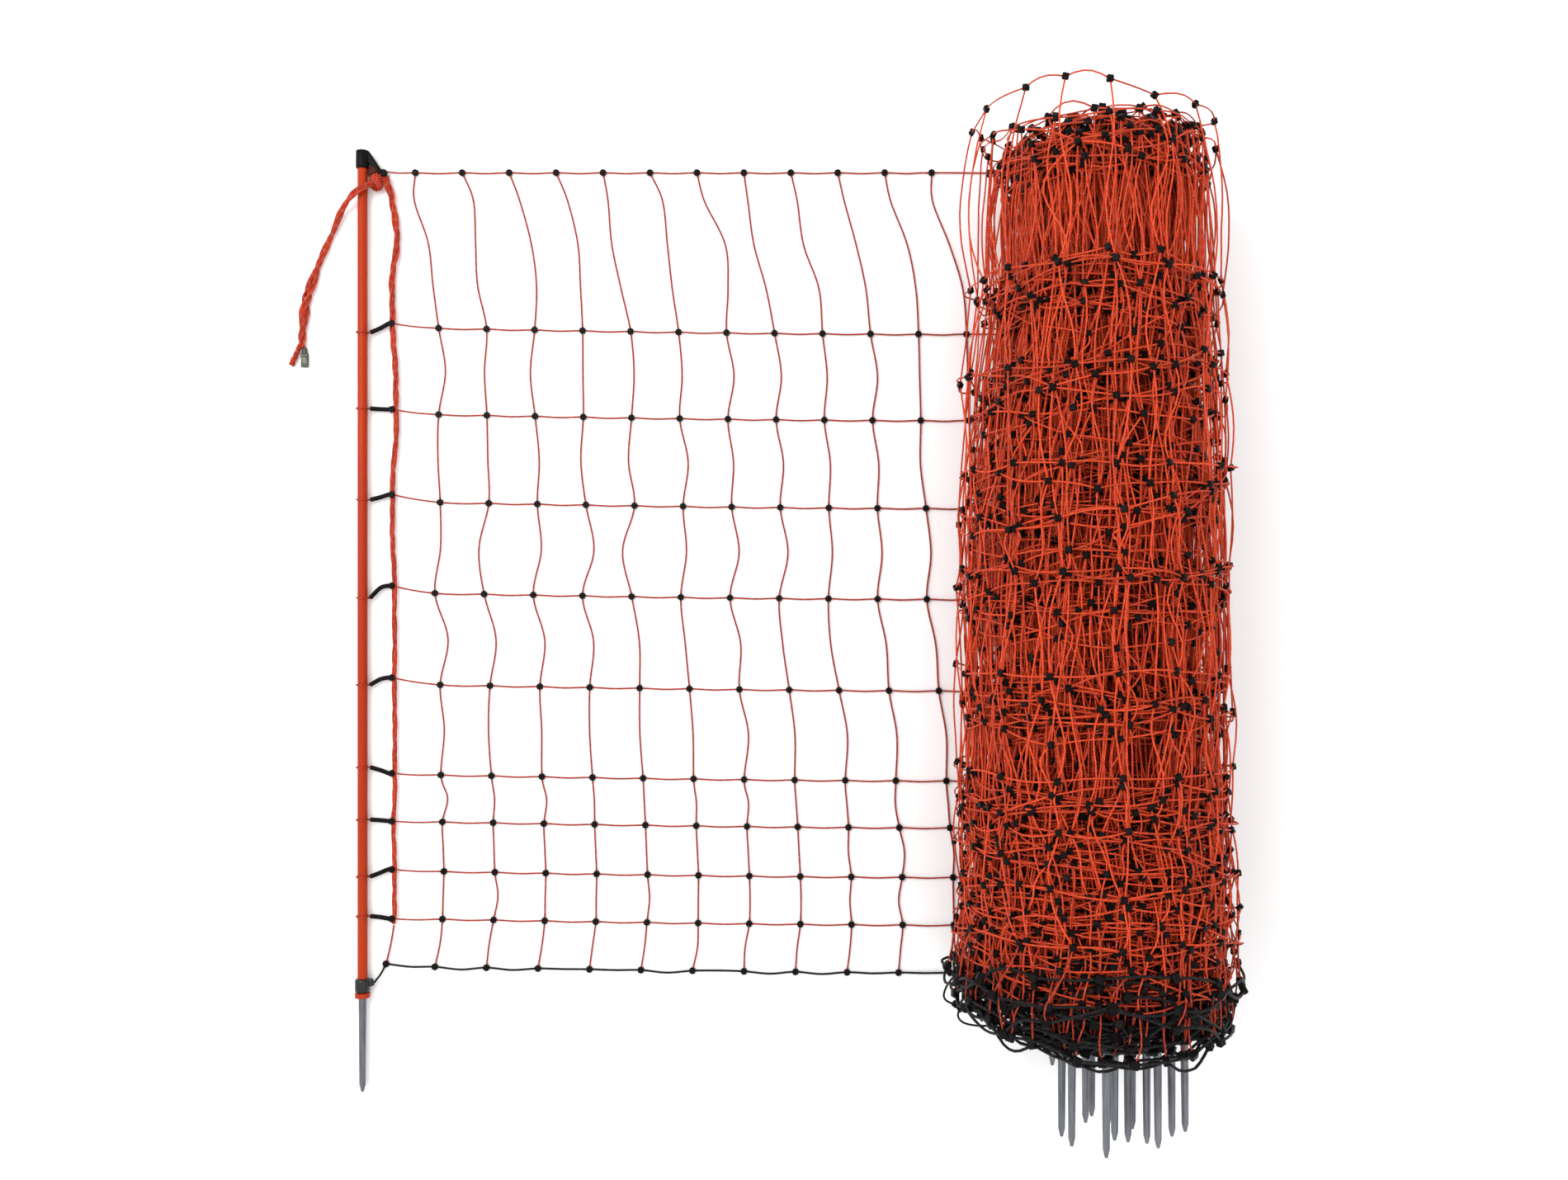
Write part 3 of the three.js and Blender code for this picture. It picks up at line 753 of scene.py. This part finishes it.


# The flat strands take the dark end of the shade range: painted shade, as the flat netting is kept darker
# than the roll.
net_rows = tube_block([row_course(row) for row in range(GROUND_ROW)], STRAND_RADIUS, 6, UP, 0.06)
net_columns = tube_block([column_course(c) for c in column], STRAND_RADIUS, 6, UP, 0.0)
last_tie = np.array([POST_X + 0.0395, row_y[GROUND_ROW - 1] - 0.0081, STRAND_Z])
down_strand = smooth_course([last_tie, (last_tie + ground_knot) / 2 + (0.001, 0, 0), ground_knot], 12)
net_strands = strand_mesh(
    "net_strands", [net_rows, net_columns, tube_block([down_strand], STRAND_RADIUS, 6, UP, 0.0)], orange_wire
)
dress(net_strands, "orange_wire", "net_panel")
clip_course = smooth_course([clip_end, (clip_end + ground_knot) / 2 + (0.001, -0.001, 0), ground_knot], 14)
ground_strand = strand_mesh(
    "net_ground_strand",
    [
        tube_block([row_course(GROUND_ROW)], GROUND_RADIUS, 6, UP),
        tube_block([clip_course], GROUND_RADIUS, 6, UP),
    ],
    black_wire,
)
dress(ground_strand, "black_plastic", "net_panel")

# %% [markdown]
# A knot is a small black moulding round the crossing, with short stubs that hold the strands. One knot is
# modelled by hand, and its corners are then copied to every crossing as one joined mesh.


# %% Knots
def template(parts):
    """Corners and faces of a small hand-made shape, whose object is then removed."""
    shape = join("knot_template", parts, black_plastic)
    corners = np.array([v.co for v in shape.data.vertices])
    faces = [list(p.vertices) for p in shape.data.polygons]
    bpy.data.objects.remove(shape)
    return corners, faces


def scatter(name, shapes, material):
    """One object from (template, places, frames) groups; a frame's rows are a copy's own axes."""
    points, faces = [], []
    start = 0
    for (corners, shape_faces), places, frames in shapes:
        placed = places[:, None, :] + np.einsum("vi,kij->kvj", corners, frames)
        points.append(placed.reshape(-1, 3))
        for number in range(len(places)):
            offset = start + number * len(corners)
            faces += [[offset + v for v in face] for face in shape_faces]
        start += len(places) * len(corners)
    made = mesh_object(name, points, faces, material)
    made.data.update()
    return made


def turned_frames(count, tilt):
    """Frames of flat-lying copies, each turned a little in the plane."""
    turn = random.normal(0, tilt, count)
    frames = np.zeros((count, 3, 3))
    frames[:, 0, 0] = frames[:, 1, 1] = np.cos(turn)
    frames[:, 0, 1] = np.sin(turn)
    frames[:, 1, 0] = -np.sin(turn)
    frames[:, 2, 2] = 1
    return frames


STUB_LENGTH = 0.0094
STUB_RADIUS = 0.0015
knot_size = (KNOT_WIDTH, KNOT_WIDTH, KNOT_THICKNESS * 0.96)
knot_body = block("knot_body", (0, 0, 0), knot_size, 0, 0.0007, 1)
stub_across = bar_along_y("stub_across", (0, 0, 0), STUB_RADIUS, STUB_LENGTH, 0.0004, 8, 1)
stub_along = bar_along_y("stub_along", (0, 0, 0), STUB_RADIUS, STUB_LENGTH, 0.0004, 8, 1)
stub_across.rotation_euler = (0, 0, math.pi / 2)
settle(stub_across, "stub_across")
flat_knot = template([knot_body, stub_across, stub_along])
knot_places = np.concatenate([crossings.reshape(-1, 3), row_starts[1:]])
net_knots = scatter(
    "net_knots", [(flat_knot, knot_places, turned_frames(len(knot_places), 0.10))], black_plastic
)
bpy.context.view_layer.objects.active = net_knots
net_knots.select_set(True)
bpy.ops.object.shade_smooth_by_angle(angle=SMOOTH_ANGLE)
dress(net_knots, "black_plastic", "net_panel")

# %% [markdown]
# Beside the post, a tie thread loops round the tube at every row, runs down through a black sleeve and
# joins the row's first knot. The sleeve is a short piece of hose on the same course as its thread.

# %% Ties and sleeves
TIE_DROPS_MM = (12, -1, 7, 16, 9.5, -8, -2, 9.5, -3.5)
TIE_CURLS_MM = (0, 0, 0, 5, 2.5, 0, 0, 0, 0)
SLEEVE_RADIUS = 0.003
LOOP_RADIUS = 0.0079
LOOP_POINTS = 33
SLEEVE_FROM = 0.0095
SLEEVE_TO = 0.0365
for number, (drop, curl) in enumerate(zip(TIE_DROPS_MM, TIE_CURLS_MM)):
    knot_y = row_starts[number + 1][1]
    post_y = knot_y - drop / 1000
    angle = np.linspace(0, 2 * np.pi, LOOP_POINTS)
    loop_x = POST_X + LOOP_RADIUS * np.cos(angle)
    loop_z = POST_Z + LOOP_RADIUS * np.sin(angle)
    loop = np.stack([loop_x, np.full(LOOP_POINTS, post_y), loop_z], axis=1)
    course = smooth_course(
        [
            (POST_X + LOOP_RADIUS, post_y, 0.010), (POST_X + 0.010, post_y, 0.009),
            (POST_X + 0.0228, (post_y + knot_y) / 2 + curl / 1000, 0.0072),
            (POST_X + 0.0340, knot_y, 0.0080), (FIRST_KNOT_X, knot_y, FIRST_KNOT_Z),
        ],
        41,
    )
    # The tie thread takes the dark end of the shade range: painted shade, as for all flat pieces.
    thread_blocks = [
        tube_block([loop], STRAND_RADIUS, 8, np.array([0, 1.0, 0]), 0.1),
        tube_block([course], STRAND_RADIUS, 8, UP, 0.1),
    ]
    thread = strand_mesh(f"thread_{number + 2:02d}", thread_blocks, orange_wire)
    dress(thread, "orange_wire", f"tie_thread_{number + 2:02d}")
    inside = course[(course[:, 0] > POST_X + SLEEVE_FROM) & (course[:, 0] < POST_X + SLEEVE_TO)]
    sleeve_block = tube_block([smooth_course(inside, 16)], SLEEVE_RADIUS, 16, UP)
    sleeve = strand_mesh(f"sleeve_{number + 2:02d}", [sleeve_block], black_plastic)
    dress(sleeve, "black_plastic", f"tie_sleeve_{number + 2:02d}")

# %% [markdown]
# The end band is a slack bundle of wires that joins the rows electrically beside the post. It is thickest
# under the hook and thins out downwards, because a wire leaves it at some of the rows.

# %% End band
BAND_X = POST_X + 0.0415
KNOT_EDGE = POST_X + 0.0283
band_points = [
    (KNOT_EDGE + 0.002, row_y[0] - 0.008, 0.010), (KNOT_EDGE + 0.006, row_y[0] - 0.020, 0.010),
    (BAND_X - 0.002, row_y[0] - 0.042, 0.008), (BAND_X + 0.003, row_y[0] - 0.095, 0.007),
    (BAND_X - 0.0035, row_y[0] - 0.150, 0.007),
]
BAND_SWAYS_MM = (-2, 2.5, -3, 0, 0, 0.5, -1, 0)
BAND_WIRE_RADIUS = 0.0015
BAND_PITCH = (0.085, 0.12)
BAND_FLATNESS = 0.5
BAND_INSIDE = 0.35
for sway, y in zip(BAND_SWAYS_MM, row_y[1:]):
    band_points.append((BAND_X + sway / 1000, y, 0.007))
band_points += [(BAND_X, row_y[9] + 0.010, 0.007), (BAND_X - 0.001, last_tie[1] + 0.003, 0.0065)]
band_course = smooth_course(band_points, 420)


def band_spread(share):
    return 0.0020 + 0.0020 * np.exp(-share / 0.35)


def band_core(share):
    return band_spread(share) * BAND_INSIDE


band_wires = wire_bundle(band_course, 4, band_spread, BAND_WIRE_RADIUS, BAND_PITCH[0], BAND_FLATNESS)
band_inside = wire_bundle(band_course, 2, band_core, BAND_WIRE_RADIUS, BAND_PITCH[1], BAND_FLATNESS)
band = strand_mesh("end_band_wires", [band_wires, band_inside], orange_wire)
dress(band, "orange_wire", "end_band")

# %% [markdown]
# Under the hook the wires are wound into a knotted bundle, dark brown where it is held by the hook, with a
# small dark knot where the top row starts. Each is drawn as two long wires that wind round an egg at slowly
# changing angles, over a plain egg that closes the gaps.

# %% Top knot
WINDINGS = 6
SWEEP = 2.4
CORE_SHARE = 0.88


def wound_ball(name, centre, size, wire, material, slot):
    """Two wires wound round an egg, over a plain core. wire is their radius."""
    bpy.ops.mesh.primitive_uv_sphere_add(segments=24, ring_count=16, radius=1, location=centre)
    core = bpy.context.object
    core.scale = np.array(size) * CORE_SHARE
    settle(core, f"{name}_core")
    bpy.ops.object.shade_smooth()
    core.data.materials.append(material)
    dress(core, slot, "top_knot")
    wind = np.linspace(0, 1, 260)
    windings = []
    for tilt in (0.5, 1.9):
        turn = wind * 2 * np.pi * WINDINGS
        sweep = tilt + wind * SWEEP
        ball = np.stack([np.cos(turn) * np.cos(sweep), np.cos(turn) * np.sin(sweep), np.sin(turn)], axis=1)
        windings.append(np.array(centre) + ball * size)
    outward = np.array([w - np.array(centre) for w in windings])
    # The wound wires take the darker half of the shade range: painted shade, as for all flat pieces.
    wires = strand_mesh(f"{name}_wires", [tube_block(windings, wire, 6, outward, 0.25)], material)
    dress(wires, slot, "top_knot")


wound_ball(
    "tie_bundle", (POST_X + 0.0185, CAP_TOP - 0.0440, 0.010), (0.0090, 0.0115, 0.0072), 0.0013,
    orange_wire, "orange_wire",
)
wound_ball(
    "hook_bundle", (POST_X + 0.0140, CAP_TOP - 0.0310, 0.0095), (0.0065, 0.0075, 0.0060), 0.0013,
    brown_wire, "orange_wire",
)
wound_ball(
    "row_bundle", (POST_X + 0.0275, CAP_TOP - 0.0320, 0.0080), (0.0042, 0.0048, 0.0040), 0.0011,
    black_wire, "black_plastic",
)

# %% [markdown]
# The lead ends in a flat metal connector: a pressed plate with a crimped neck and two ribs. The cut tail of
# the cord comes out beside it.

# %% Connector and tail
connector_low, connector_high = (Vector(corner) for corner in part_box("lead_connector"))
connector_mid = (connector_low + connector_high) / 2
plate = block("plate", connector_mid + Vector((0, -0.003, 0)), (0.0095, 0.0195, 0.0045), 0, 0.0012)
neck = bar_along_y("neck", connector_mid + Vector((0, 0.0085, 0)), 0.0034, 0.009, 0.0008, 24)
ribs = [
    block(f"rib_{n}", connector_mid + Vector((0, y, 0.0012)), (0.0088, 0.0022, 0.0045), 0, 0.0008)
    for n, y in enumerate((-0.0085, 0.0015))
]
connector = join("connector", [plate, neck, *ribs], connector_metal)
dress(connector, "galvanised_steel", "lead_connector")
side_x = lead_path[-1][0] - 0.00505
lead_end_y = lead_path[-1][1]
tail_points = [
    (side_x + 0.0030, lead_end_y + 0.004, 0.0052), (side_x - 0.003, lead_end_y - 0.010, 0.0048),
    (side_x - 0.0095, lead_end_y - 0.0235, 0.0048),
]
tail_course = smooth_course(tail_points, 24)


def tail_spread(share):
    """The cut end opens out a little."""
    return 0.0024 + 0.001 * share


tail_wires = wire_bundle(tail_course, 5, tail_spread, WIRE_RADIUS, 0.05)
tail = strand_mesh("lead_tail_wires", [tail_wires], orange_wire)
dress(tail, "orange_wire", "lead_tail")

# %% [markdown]
# The roll is the same netting, wound up: 745 columns on a spiral of some 85 turns. The netting is
# described once, flat, by the distance s along it and the height y, and one function winds any such point
# onto the spiral. A point's lift is its distance out of the layer, so slack can stand proud of its turn.
# Towards the top the inner turns are tight and the outer ones hang loose and lean to the left, which leaves
# the white gaps at the left edge in the photo. Near the floor the roll is pressed flat, as soft goods are.

# %% Winding the netting up
NET_LENGTH = 49.2
COLUMN_PITCH = 0.066
INNER_RADIUS = 0.024
MEAN_RADIUS = (ROLL_RADIUS + INNER_RADIUS) / 2
SHRINK = (ROLL_RADIUS - INNER_RADIUS) * MEAN_RADIUS / NET_LENGTH
PROFILE_Y = (-0.52, -0.45, -0.31, -0.17, 0.20, 0.42, 0.50, 0.56, 0.60)
PROFILE_RADIUS = (0.150, 0.161, 0.161, 0.157, 0.157, 0.158, 0.156, 0.150, 0.142)
FLOOR_GAP = 0.0075
FLOOR_SOFTNESS = 0.004
LOOSE_TURNS = 2.2
NECK_FROM, NECK_LENGTH = 0.12, 0.28
NECK_SHIFT = (0.012, -0.010)
NECK_SHRINK = (0.20, 0.05)
LEAN_FROM, LEAN_LENGTH = 0.33, 0.12
LEAN = 0.012


def ramp(y, start, length):
    """0 below the start, 1 above the end, and even between them."""
    return np.clip((y - start) / length, 0, 1)


def wind_up(s, y, lift):
    """Where a point of the netting lies once it is rolled up, and the way outwards there."""
    angle = (ROLL_RADIUS - np.sqrt(np.maximum(ROLL_RADIUS**2 - 2 * SHRINK * s, INNER_RADIUS**2))) / SHRINK
    turn = angle / (2 * np.pi)
    grown = np.interp(y, PROFILE_Y, PROFILE_RADIUS) / ROLL_RADIUS
    radius = (ROLL_RADIUS - SHRINK * angle) * grown
    tight = 1 - np.exp(-turn / LOOSE_TURNS)
    upper = ramp(y, NECK_FROM, NECK_LENGTH) * tight
    middle = ROLL_X + NECK_SHIFT[0] * upper - LEAN * ramp(y, LEAN_FROM, LEAN_LENGTH) * (1 - tight)
    x = middle + (radius * (1 - NECK_SHRINK[0] * upper) + lift) * np.sin(angle)
    z = ROLL_Z + NECK_SHIFT[1] * upper - (radius * (1 - NECK_SHRINK[1] * upper) + lift) * np.cos(angle)
    z = FLOOR_GAP + np.logaddexp(0, (z - FLOOR_GAP) / FLOOR_SOFTNESS) * FLOOR_SOFTNESS
    outward = np.stack([np.sin(angle), np.zeros_like(angle), -np.cos(angle)], axis=-1)
    return np.stack(np.broadcast_arrays(x, y, z), axis=-1), outward


columns = int(NET_LENGTH / COLUMN_PITCH)
column_s = (np.arange(columns) + 0.5) * COLUMN_PITCH
column_turn = (ROLL_RADIUS - np.sqrt(ROLL_RADIUS**2 - 2 * SHRINK * column_s)) / SHRINK / (2 * np.pi)
print(columns, "columns on", round(float(column_turn[-1]), 1), "turns")

# %% [markdown]
# The knots' places are disturbed on purpose. Neighbouring columns shift up or down together, because they
# hang on the same rows, and every knot also strays by itself. The top row spreads downwards, as the turns
# have slipped into each other. The ground row spreads upwards from the lowest turn and pulls the lower rows
# with it, and it lies higher at the roll's two sides.


# %% Knots of the rolled netting
def drifting(count, reach, size):
    """Smooth random numbers: noise averaged over reach neighbours, scaled to the given size."""
    rough = random.normal(0, 1, count + 2 * reach)
    kernel = np.hanning(2 * reach + 1)
    smooth = np.convolve(rough, kernel, mode="valid")[:count]
    return smooth / smooth.std() * size


def drifting_evenly(count, reach):
    """The same, but spread evenly from 0 to 1: every number becomes its rank."""
    return np.argsort(np.argsort(drifting(count, reach, 1))) / count


rows = len(row_y)
outer = np.exp(-column_turn / 5)
ROW_STRAY = np.array([0, 0.022, 0.028, 0.030, 0.028, 0.024, 0.018, 0.015, 0.012, 0.008, 0])
ROW_SHIFT = 0.008
KNOT_STRAY = (0.004, 0.0035)
COLUMN_DRIFT = 0.007
TOP_SPREAD = 0.075
GROUND_SPREAD = 0.112
GROUND_BUNCHING = 1.6
GROUND_CALM = 0.6
GROUND_LOWEST = -0.029
GROUND_PULL = np.array([0, 0, 0, 0, 0, 0.1, 0.25, 0.4, 0.6, 0.8, 1])
GROUND_LIFT = 0.008
SIDE_RISE = (0.028, 0.012)
shift = drifting(columns, 4, ROW_SHIFT)
knot_y = row_y[None, :] + shift[:, None] + random.normal(0, KNOT_STRAY[1], (columns, rows))
knot_s = column_s[:, None] + random.normal(0, KNOT_STRAY[0], (columns, rows))
for row in range(rows):
    knot_y[:, row] += drifting(columns, 4, 1) * ROW_STRAY[row]
    knot_s[:, row] += drifting(columns, 3, COLUMN_DRIFT)
knot_y[:, 0] = row_y[0] - TOP_SPREAD * drifting_evenly(columns, 3)
sideways = np.sin(2 * np.pi * column_turn)
side_rise = SIDE_RISE[0] * np.clip(-sideways, 0, 1) ** 2 + SIDE_RISE[1] * np.clip(sideways, 0, 1) ** 2
ground_spread = GROUND_SPREAD * drifting_evenly(columns, 3) ** GROUND_BUNCHING
ground_spread = ground_spread * (1 - GROUND_CALM * sideways**2)
ground_rise = GROUND_LOWEST + ground_spread + side_rise
knot_y[:, GROUND_ROW] = row_y[GROUND_ROW]
knot_y += ground_rise[:, None] * GROUND_PULL

# %% [markdown]
# The outermost turn lies some centimetres higher than the flat netting it comes from, and its top row
# stands up in an arc. Its rows are listed one by one, because they are the ones that are seen.

# %% The outermost turn
OUTERMOST = slice(3, 14)
OUTERMOST_RISE = np.array([0.016, 0.020, 0.023, 0.026, 0.029, 0.032, 0.034, 0.036, 0.037, 0.037, 0.037])
TOP_ARC = {
    4: (0.0, 0.004), 5: (0.004, 0.006), 6: (0.008, 0.006), 7: (0.004, 0.021), 8: (-0.006, 0.027),
    9: (-0.017, 0.024),
}
LIFT = 0.0035
LOOSE_LIFT = 0.003
straying = random.normal(0, 0.003, knot_y[OUTERMOST].shape)
knot_y[OUTERMOST] = row_y + OUTERMOST_RISE + straying
for number, (along, rise) in TOP_ARC.items():
    knot_s[number, 0] = column_s[number] + along
    knot_y[number, 0] = row_y[0] + rise
knot_y = -np.maximum.accumulate(-knot_y, axis=1)
knot_lift = random.normal(LIFT, LIFT, (columns, rows))
knot_lift[:, GROUND_ROW] += GROUND_LIFT
knot_lift += np.abs(random.normal(0, LOOSE_LIFT, (columns, rows))) * outer[:, None]
knot_place, knot_out = wind_up(knot_s, knot_y, knot_lift)
print("rolled knots", knot_place.shape[:2], "top", round(float(knot_place[..., 2].max()), 3))

# %% [markdown]
# Each upright strand runs from knot to knot. It is longer than the gap, so it bows sideways in the layer
# and a little in or out of it. A sine bow and a smaller S bow are mixed at random, and the slack of a cell
# goes with its height. The outer turns get rounder wires with more points, as only they are seen closely.
# The wires of the lowest cells are darker: painted shade near the floor.


# %% Upright strands of the roll
OUTER_COLUMNS = 190
SLACK = 0.105
SLACK_POWER = 1.3
SWING_SHARE = 0.55
LOWEST_CELL_SHADE = 0.15
# The rolled strands take the bright end of the shade range: painted light, as the roll stands nearer the
# lamp. Within it the shade differs at random.
strand_shades = random.uniform(0.5, 1, columns)


def ways(near, near_row, far, far_row, t):
    """s, y and lift on the straight ways from one set of knots to another."""
    knots = (knot_s, knot_y, knot_lift)
    return [v[near, near_row, None] * (1 - t) + v[far, far_row, None] * t for v in knots]


def cell_strands(row, first, last, points, sides):
    height = CELL_HEIGHTS[row]
    t = np.linspace(0, 1, points)
    count = last - first
    slack = height**SLACK_POWER * SLACK
    bow = random.normal(0, slack, count)[:, None]
    swing = random.normal(0, slack * SWING_SHARE, count)[:, None]
    puff = random.normal(0.001, 0.004, count)[:, None]
    s, y, lift = ways(slice(first, last), row, slice(first, last), row + 1, t)
    s = s + bow * np.sin(np.pi * t) + swing * np.sin(2 * np.pi * t)
    course, outward = wind_up(s, y, lift + puff * np.sin(np.pi * t))
    # The lowest cell is pulled towards the dark end of the colour: painted shade near the floor.
    cell_shade = LOWEST_CELL_SHADE if row == GROUND_ROW - 1 else 1
    shades = np.clip(strand_shades[first:last] + random.normal(0, 0.15, count), 0.2, 1) * cell_shade
    return tube_block(course, STRAND_RADIUS, sides, outward, shades)


outer_blocks, inner_blocks = [], []
for row, height in enumerate(CELL_HEIGHTS):
    outer_blocks.append(cell_strands(row, 0, OUTER_COLUMNS, 5 + int(height * 30), 5))
    inner_blocks.append(cell_strands(row, OUTER_COLUMNS, columns, 4 + int(height * 16), 3))
for name, blocks in (("roll_strands_outer", outer_blocks), ("roll_strands_inner", inner_blocks)):
    dress(strand_mesh(name, blocks, orange_wire), "orange_wire", "net_roll")


# %% Long strands of the roll
LOOSE_ROWS = {0: 0.007, GROUND_ROW: 0.012}
LOOSENESS = 0.003
SAG_LIMITS = (-0.02, 0.011)
LOWEST_SAG = 0.042
GROUND_STOUTNESS = (1.25, 1.5)


def long_strands(row, first, last, points, sides, radius=STRAND_RADIUS):
    t = np.linspace(0, 1, points)
    last = min(last, columns - 1)
    count = last - first
    loose = LOOSE_ROWS.get(row, LOOSENESS)
    sag = np.clip(random.normal(0, loose, count), *SAG_LIMITS)[:, None] * np.sin(np.pi * t)
    puff = (random.normal(0.001, 0.003, count) + outer[first:last] * 0.002)[:, None]
    s, y, lift = ways(slice(first, last), row, slice(first + 1, last + 1), row, t)
    y = np.maximum(y + sag, row_y[GROUND_ROW] - LOWEST_SAG)
    course, outward = wind_up(s, y, lift + puff * np.sin(np.pi * t))
    # The rolled rows take the bright part of the shade range: painted light, as for the upright strands.
    return tube_block(course, radius, sides, outward, random.uniform(0.4, 0.95, count))


orange_rows = []
for row in range(GROUND_ROW):
    orange_rows.append(long_strands(row, 0, OUTER_COLUMNS, 6, 4))
    orange_rows.append(long_strands(row, OUTER_COLUMNS, columns, 4, 3))
dress(strand_mesh("roll_rows", orange_rows, orange_wire), "orange_wire", "net_roll")
black_rows = [
    long_strands(GROUND_ROW, 0, OUTER_COLUMNS, 9, 6, GROUND_RADIUS * GROUND_STOUTNESS[0]),
    long_strands(GROUND_ROW, OUTER_COLUMNS, columns, 5, 4, GROUND_RADIUS * GROUND_STOUTNESS[1]),
]
dress(strand_mesh("roll_ground_strand", black_rows, black_wire), "black_plastic", "net_roll")

# %% [markdown]
# The rolled knots are blocks without stubs, with a bevelled edge on the outer turns only. Each one turns
# with its layer and is a little askew. The knots of the ground strand are larger.

# %% Knots of the roll
ROLL_KNOT_SIZE = (0.0078, 0.0078, 0.0060)
GROUND_KNOT_SCALE = 1.35
ASKEW_OUT = 0.35
ASKEW_ALONG = 0.25
plain_knot = template([block("plain_knot", (0, 0, 0), ROLL_KNOT_SIZE, 0, 0.0010, 1)])
bpy.ops.mesh.primitive_cube_add(size=1)
bpy.context.object.scale = ROLL_KNOT_SIZE
hidden_knot = template([settle(bpy.context.object, "hidden_knot")])


def knot_frames(outward):
    """The frame of each rolled knot: across the layer, along the roll and outwards, a little askew."""
    count = len(outward)
    askew = unit(outward + random.normal(0, ASKEW_OUT, outward.shape))
    axis = unit(np.array([0, 1.0, 0]) + random.normal(0, ASKEW_ALONG, outward.shape))
    across = unit(np.cross(axis, askew))
    return np.stack([across, np.cross(askew, across), askew], axis=1).reshape(count, 3, 3)


for name, part, shape in (
    ("roll_knots_outer", slice(0, OUTER_COLUMNS), plain_knot),
    ("roll_knots_inner", slice(OUTER_COLUMNS, columns), hidden_knot),
):
    places = knot_place[part].reshape(-1, 3)
    sizes = np.ones(knot_place[part].shape[:2])
    sizes[:, GROUND_ROW] = GROUND_KNOT_SCALE
    frames = knot_frames(knot_out[part].reshape(-1, 3)) * sizes.reshape(-1, 1, 1)
    dress(scatter(name, [(shape, places, frames)], black_plastic), "black_plastic", "net_roll")

# %% [markdown]
# The rolled posts wear the same cap and clip as the end post. Both are copied from the finished pieces, one
# joined mesh for each kind, and every copy is turned about its own post. The caps sink into the roll,
# because none of them shows above it in the photo.


# %% Caps and clips of the rolled posts
CAP_SINK = 0.020


def on_rolled_posts(name, model, model_end, post_end, material, sink=0):
    """Copies of a piece of the end post at the same end of every rolled post, sunk along it by sink."""
    corners = np.array([v.co for v in model.data.vertices]) - model_end
    faces = [list(p.vertices) for p in model.data.polygons]
    places, frames = [], []
    for number in ROLLED_POSTS:
        ends = solid_axis(f"rolled_rod_{number:02d}")
        along_post = np.array((ends[1] - ends[0]).normalized())
        turn = random.uniform(0, 2 * math.pi)
        out = unit(np.cross(along_post, np.array([math.cos(turn), 0, math.sin(turn)])))
        places.append(np.array(ends[post_end]) - along_post * sink)
        frames.append([out, along_post, np.cross(out, along_post)])
    copies = scatter(name, [((corners, faces), np.array(places), np.array(frames))], material)
    dress(copies, "black_plastic", "net_roll")


post_top = np.array([POST_X, CAP_TOP - CAP_CROWN, POST_Z])
on_rolled_posts("rolled_caps", end_cap, post_top, 1, black_plastic, CAP_SINK)
on_rolled_posts("rolled_clips", end_clip, np.array([POST_X, ROD_BOTTOM, POST_Z]), 0, clip_plastic)

# %% [markdown]
# A few turns of the ground strand have slipped off the roll's lower end and stand out as loose loops. Each
# is a short route given in millimetres from the roll's axis and from the ground row.

# %% Loose loops
LOOSE_LOOPS_MM = (
    ((-118, 17, 70), (-158, 8, 75), (-174, -16, 80), (-160, -26, 84), (-128, -24, 80)),
    ((-112, -6, 60), (-150, -40, 56), (-146, -58, 56), (-112, -60, 62), (-88, -44, 75)),
    ((140, 14, 150), (168, 2, 152), (176, -10, 150), (150, -16, 148)),
    ((150, 0, 120), (178, -20, 120), (170, -42, 118), (150, -56, 118), (118, -52, 130)),
)
LOOP_KNOTS = (1, 3)
loop_blocks, loop_knots = [], []
for route in LOOSE_LOOPS_MM:
    points = np.array(route) / 1000 + (ROLL_X, row_y[GROUND_ROW], 0)
    loop_blocks.append(tube_block([smooth_course(points, 40)], GROUND_RADIUS, 6, UP))
    loop_knots += [points[number] for number in LOOP_KNOTS]
dress(strand_mesh("loose_loops", loop_blocks, black_wire), "black_plastic", "net_roll")
loop_frames = turned_frames(len(loop_knots), 0.8)
loose_knots = scatter("loose_knots", [(plain_knot, np.array(loop_knots), loop_frames)], black_plastic)
dress(loose_knots, "black_plastic", "net_roll")

# %% [markdown]
# The rolled rods are plain tubes of the same plastic. Each takes its axis from its own solid and is shorter
# at the top by as much as its cap sinks.

# %% Rods of the rolled posts
for number in ROLLED_POSTS:
    low_end, high_end = solid_axis(f"rolled_rod_{number:02d}")
    along_post = (high_end - low_end).normalized()
    rod_length = (high_end - low_end).length - CAP_SINK
    bpy.ops.object.select_all(action="DESELECT")
    bpy.ops.mesh.primitive_cylinder_add(
        vertices=20, radius=POST_RADIUS, depth=rod_length, location=low_end + along_post * rod_length / 2,
        rotation=along_post.to_track_quat("Z", "Y").to_euler(),
    )
    rod = settle(bpy.context.object, f"rolled_post_{number:02d}")
    soften(rod, 0.0008)
    rod.data.materials.append(post_plastic)
    dress(rod, "post_plastic", f"rolled_rod_{number:02d}")
print("rolled rods", len(ROLLED_POSTS), "each", round(rod_length, 3), "m long")

# %% [markdown]
# The box round every piece that is shown is taken and set beside the box of the solids.

low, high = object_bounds()
sizes = {"cad": [list(cad_low), list(cad_high)], "visual": [list(low), list(high)]}
print("visual box", [round(v, 4) for v in (*low, *high)])
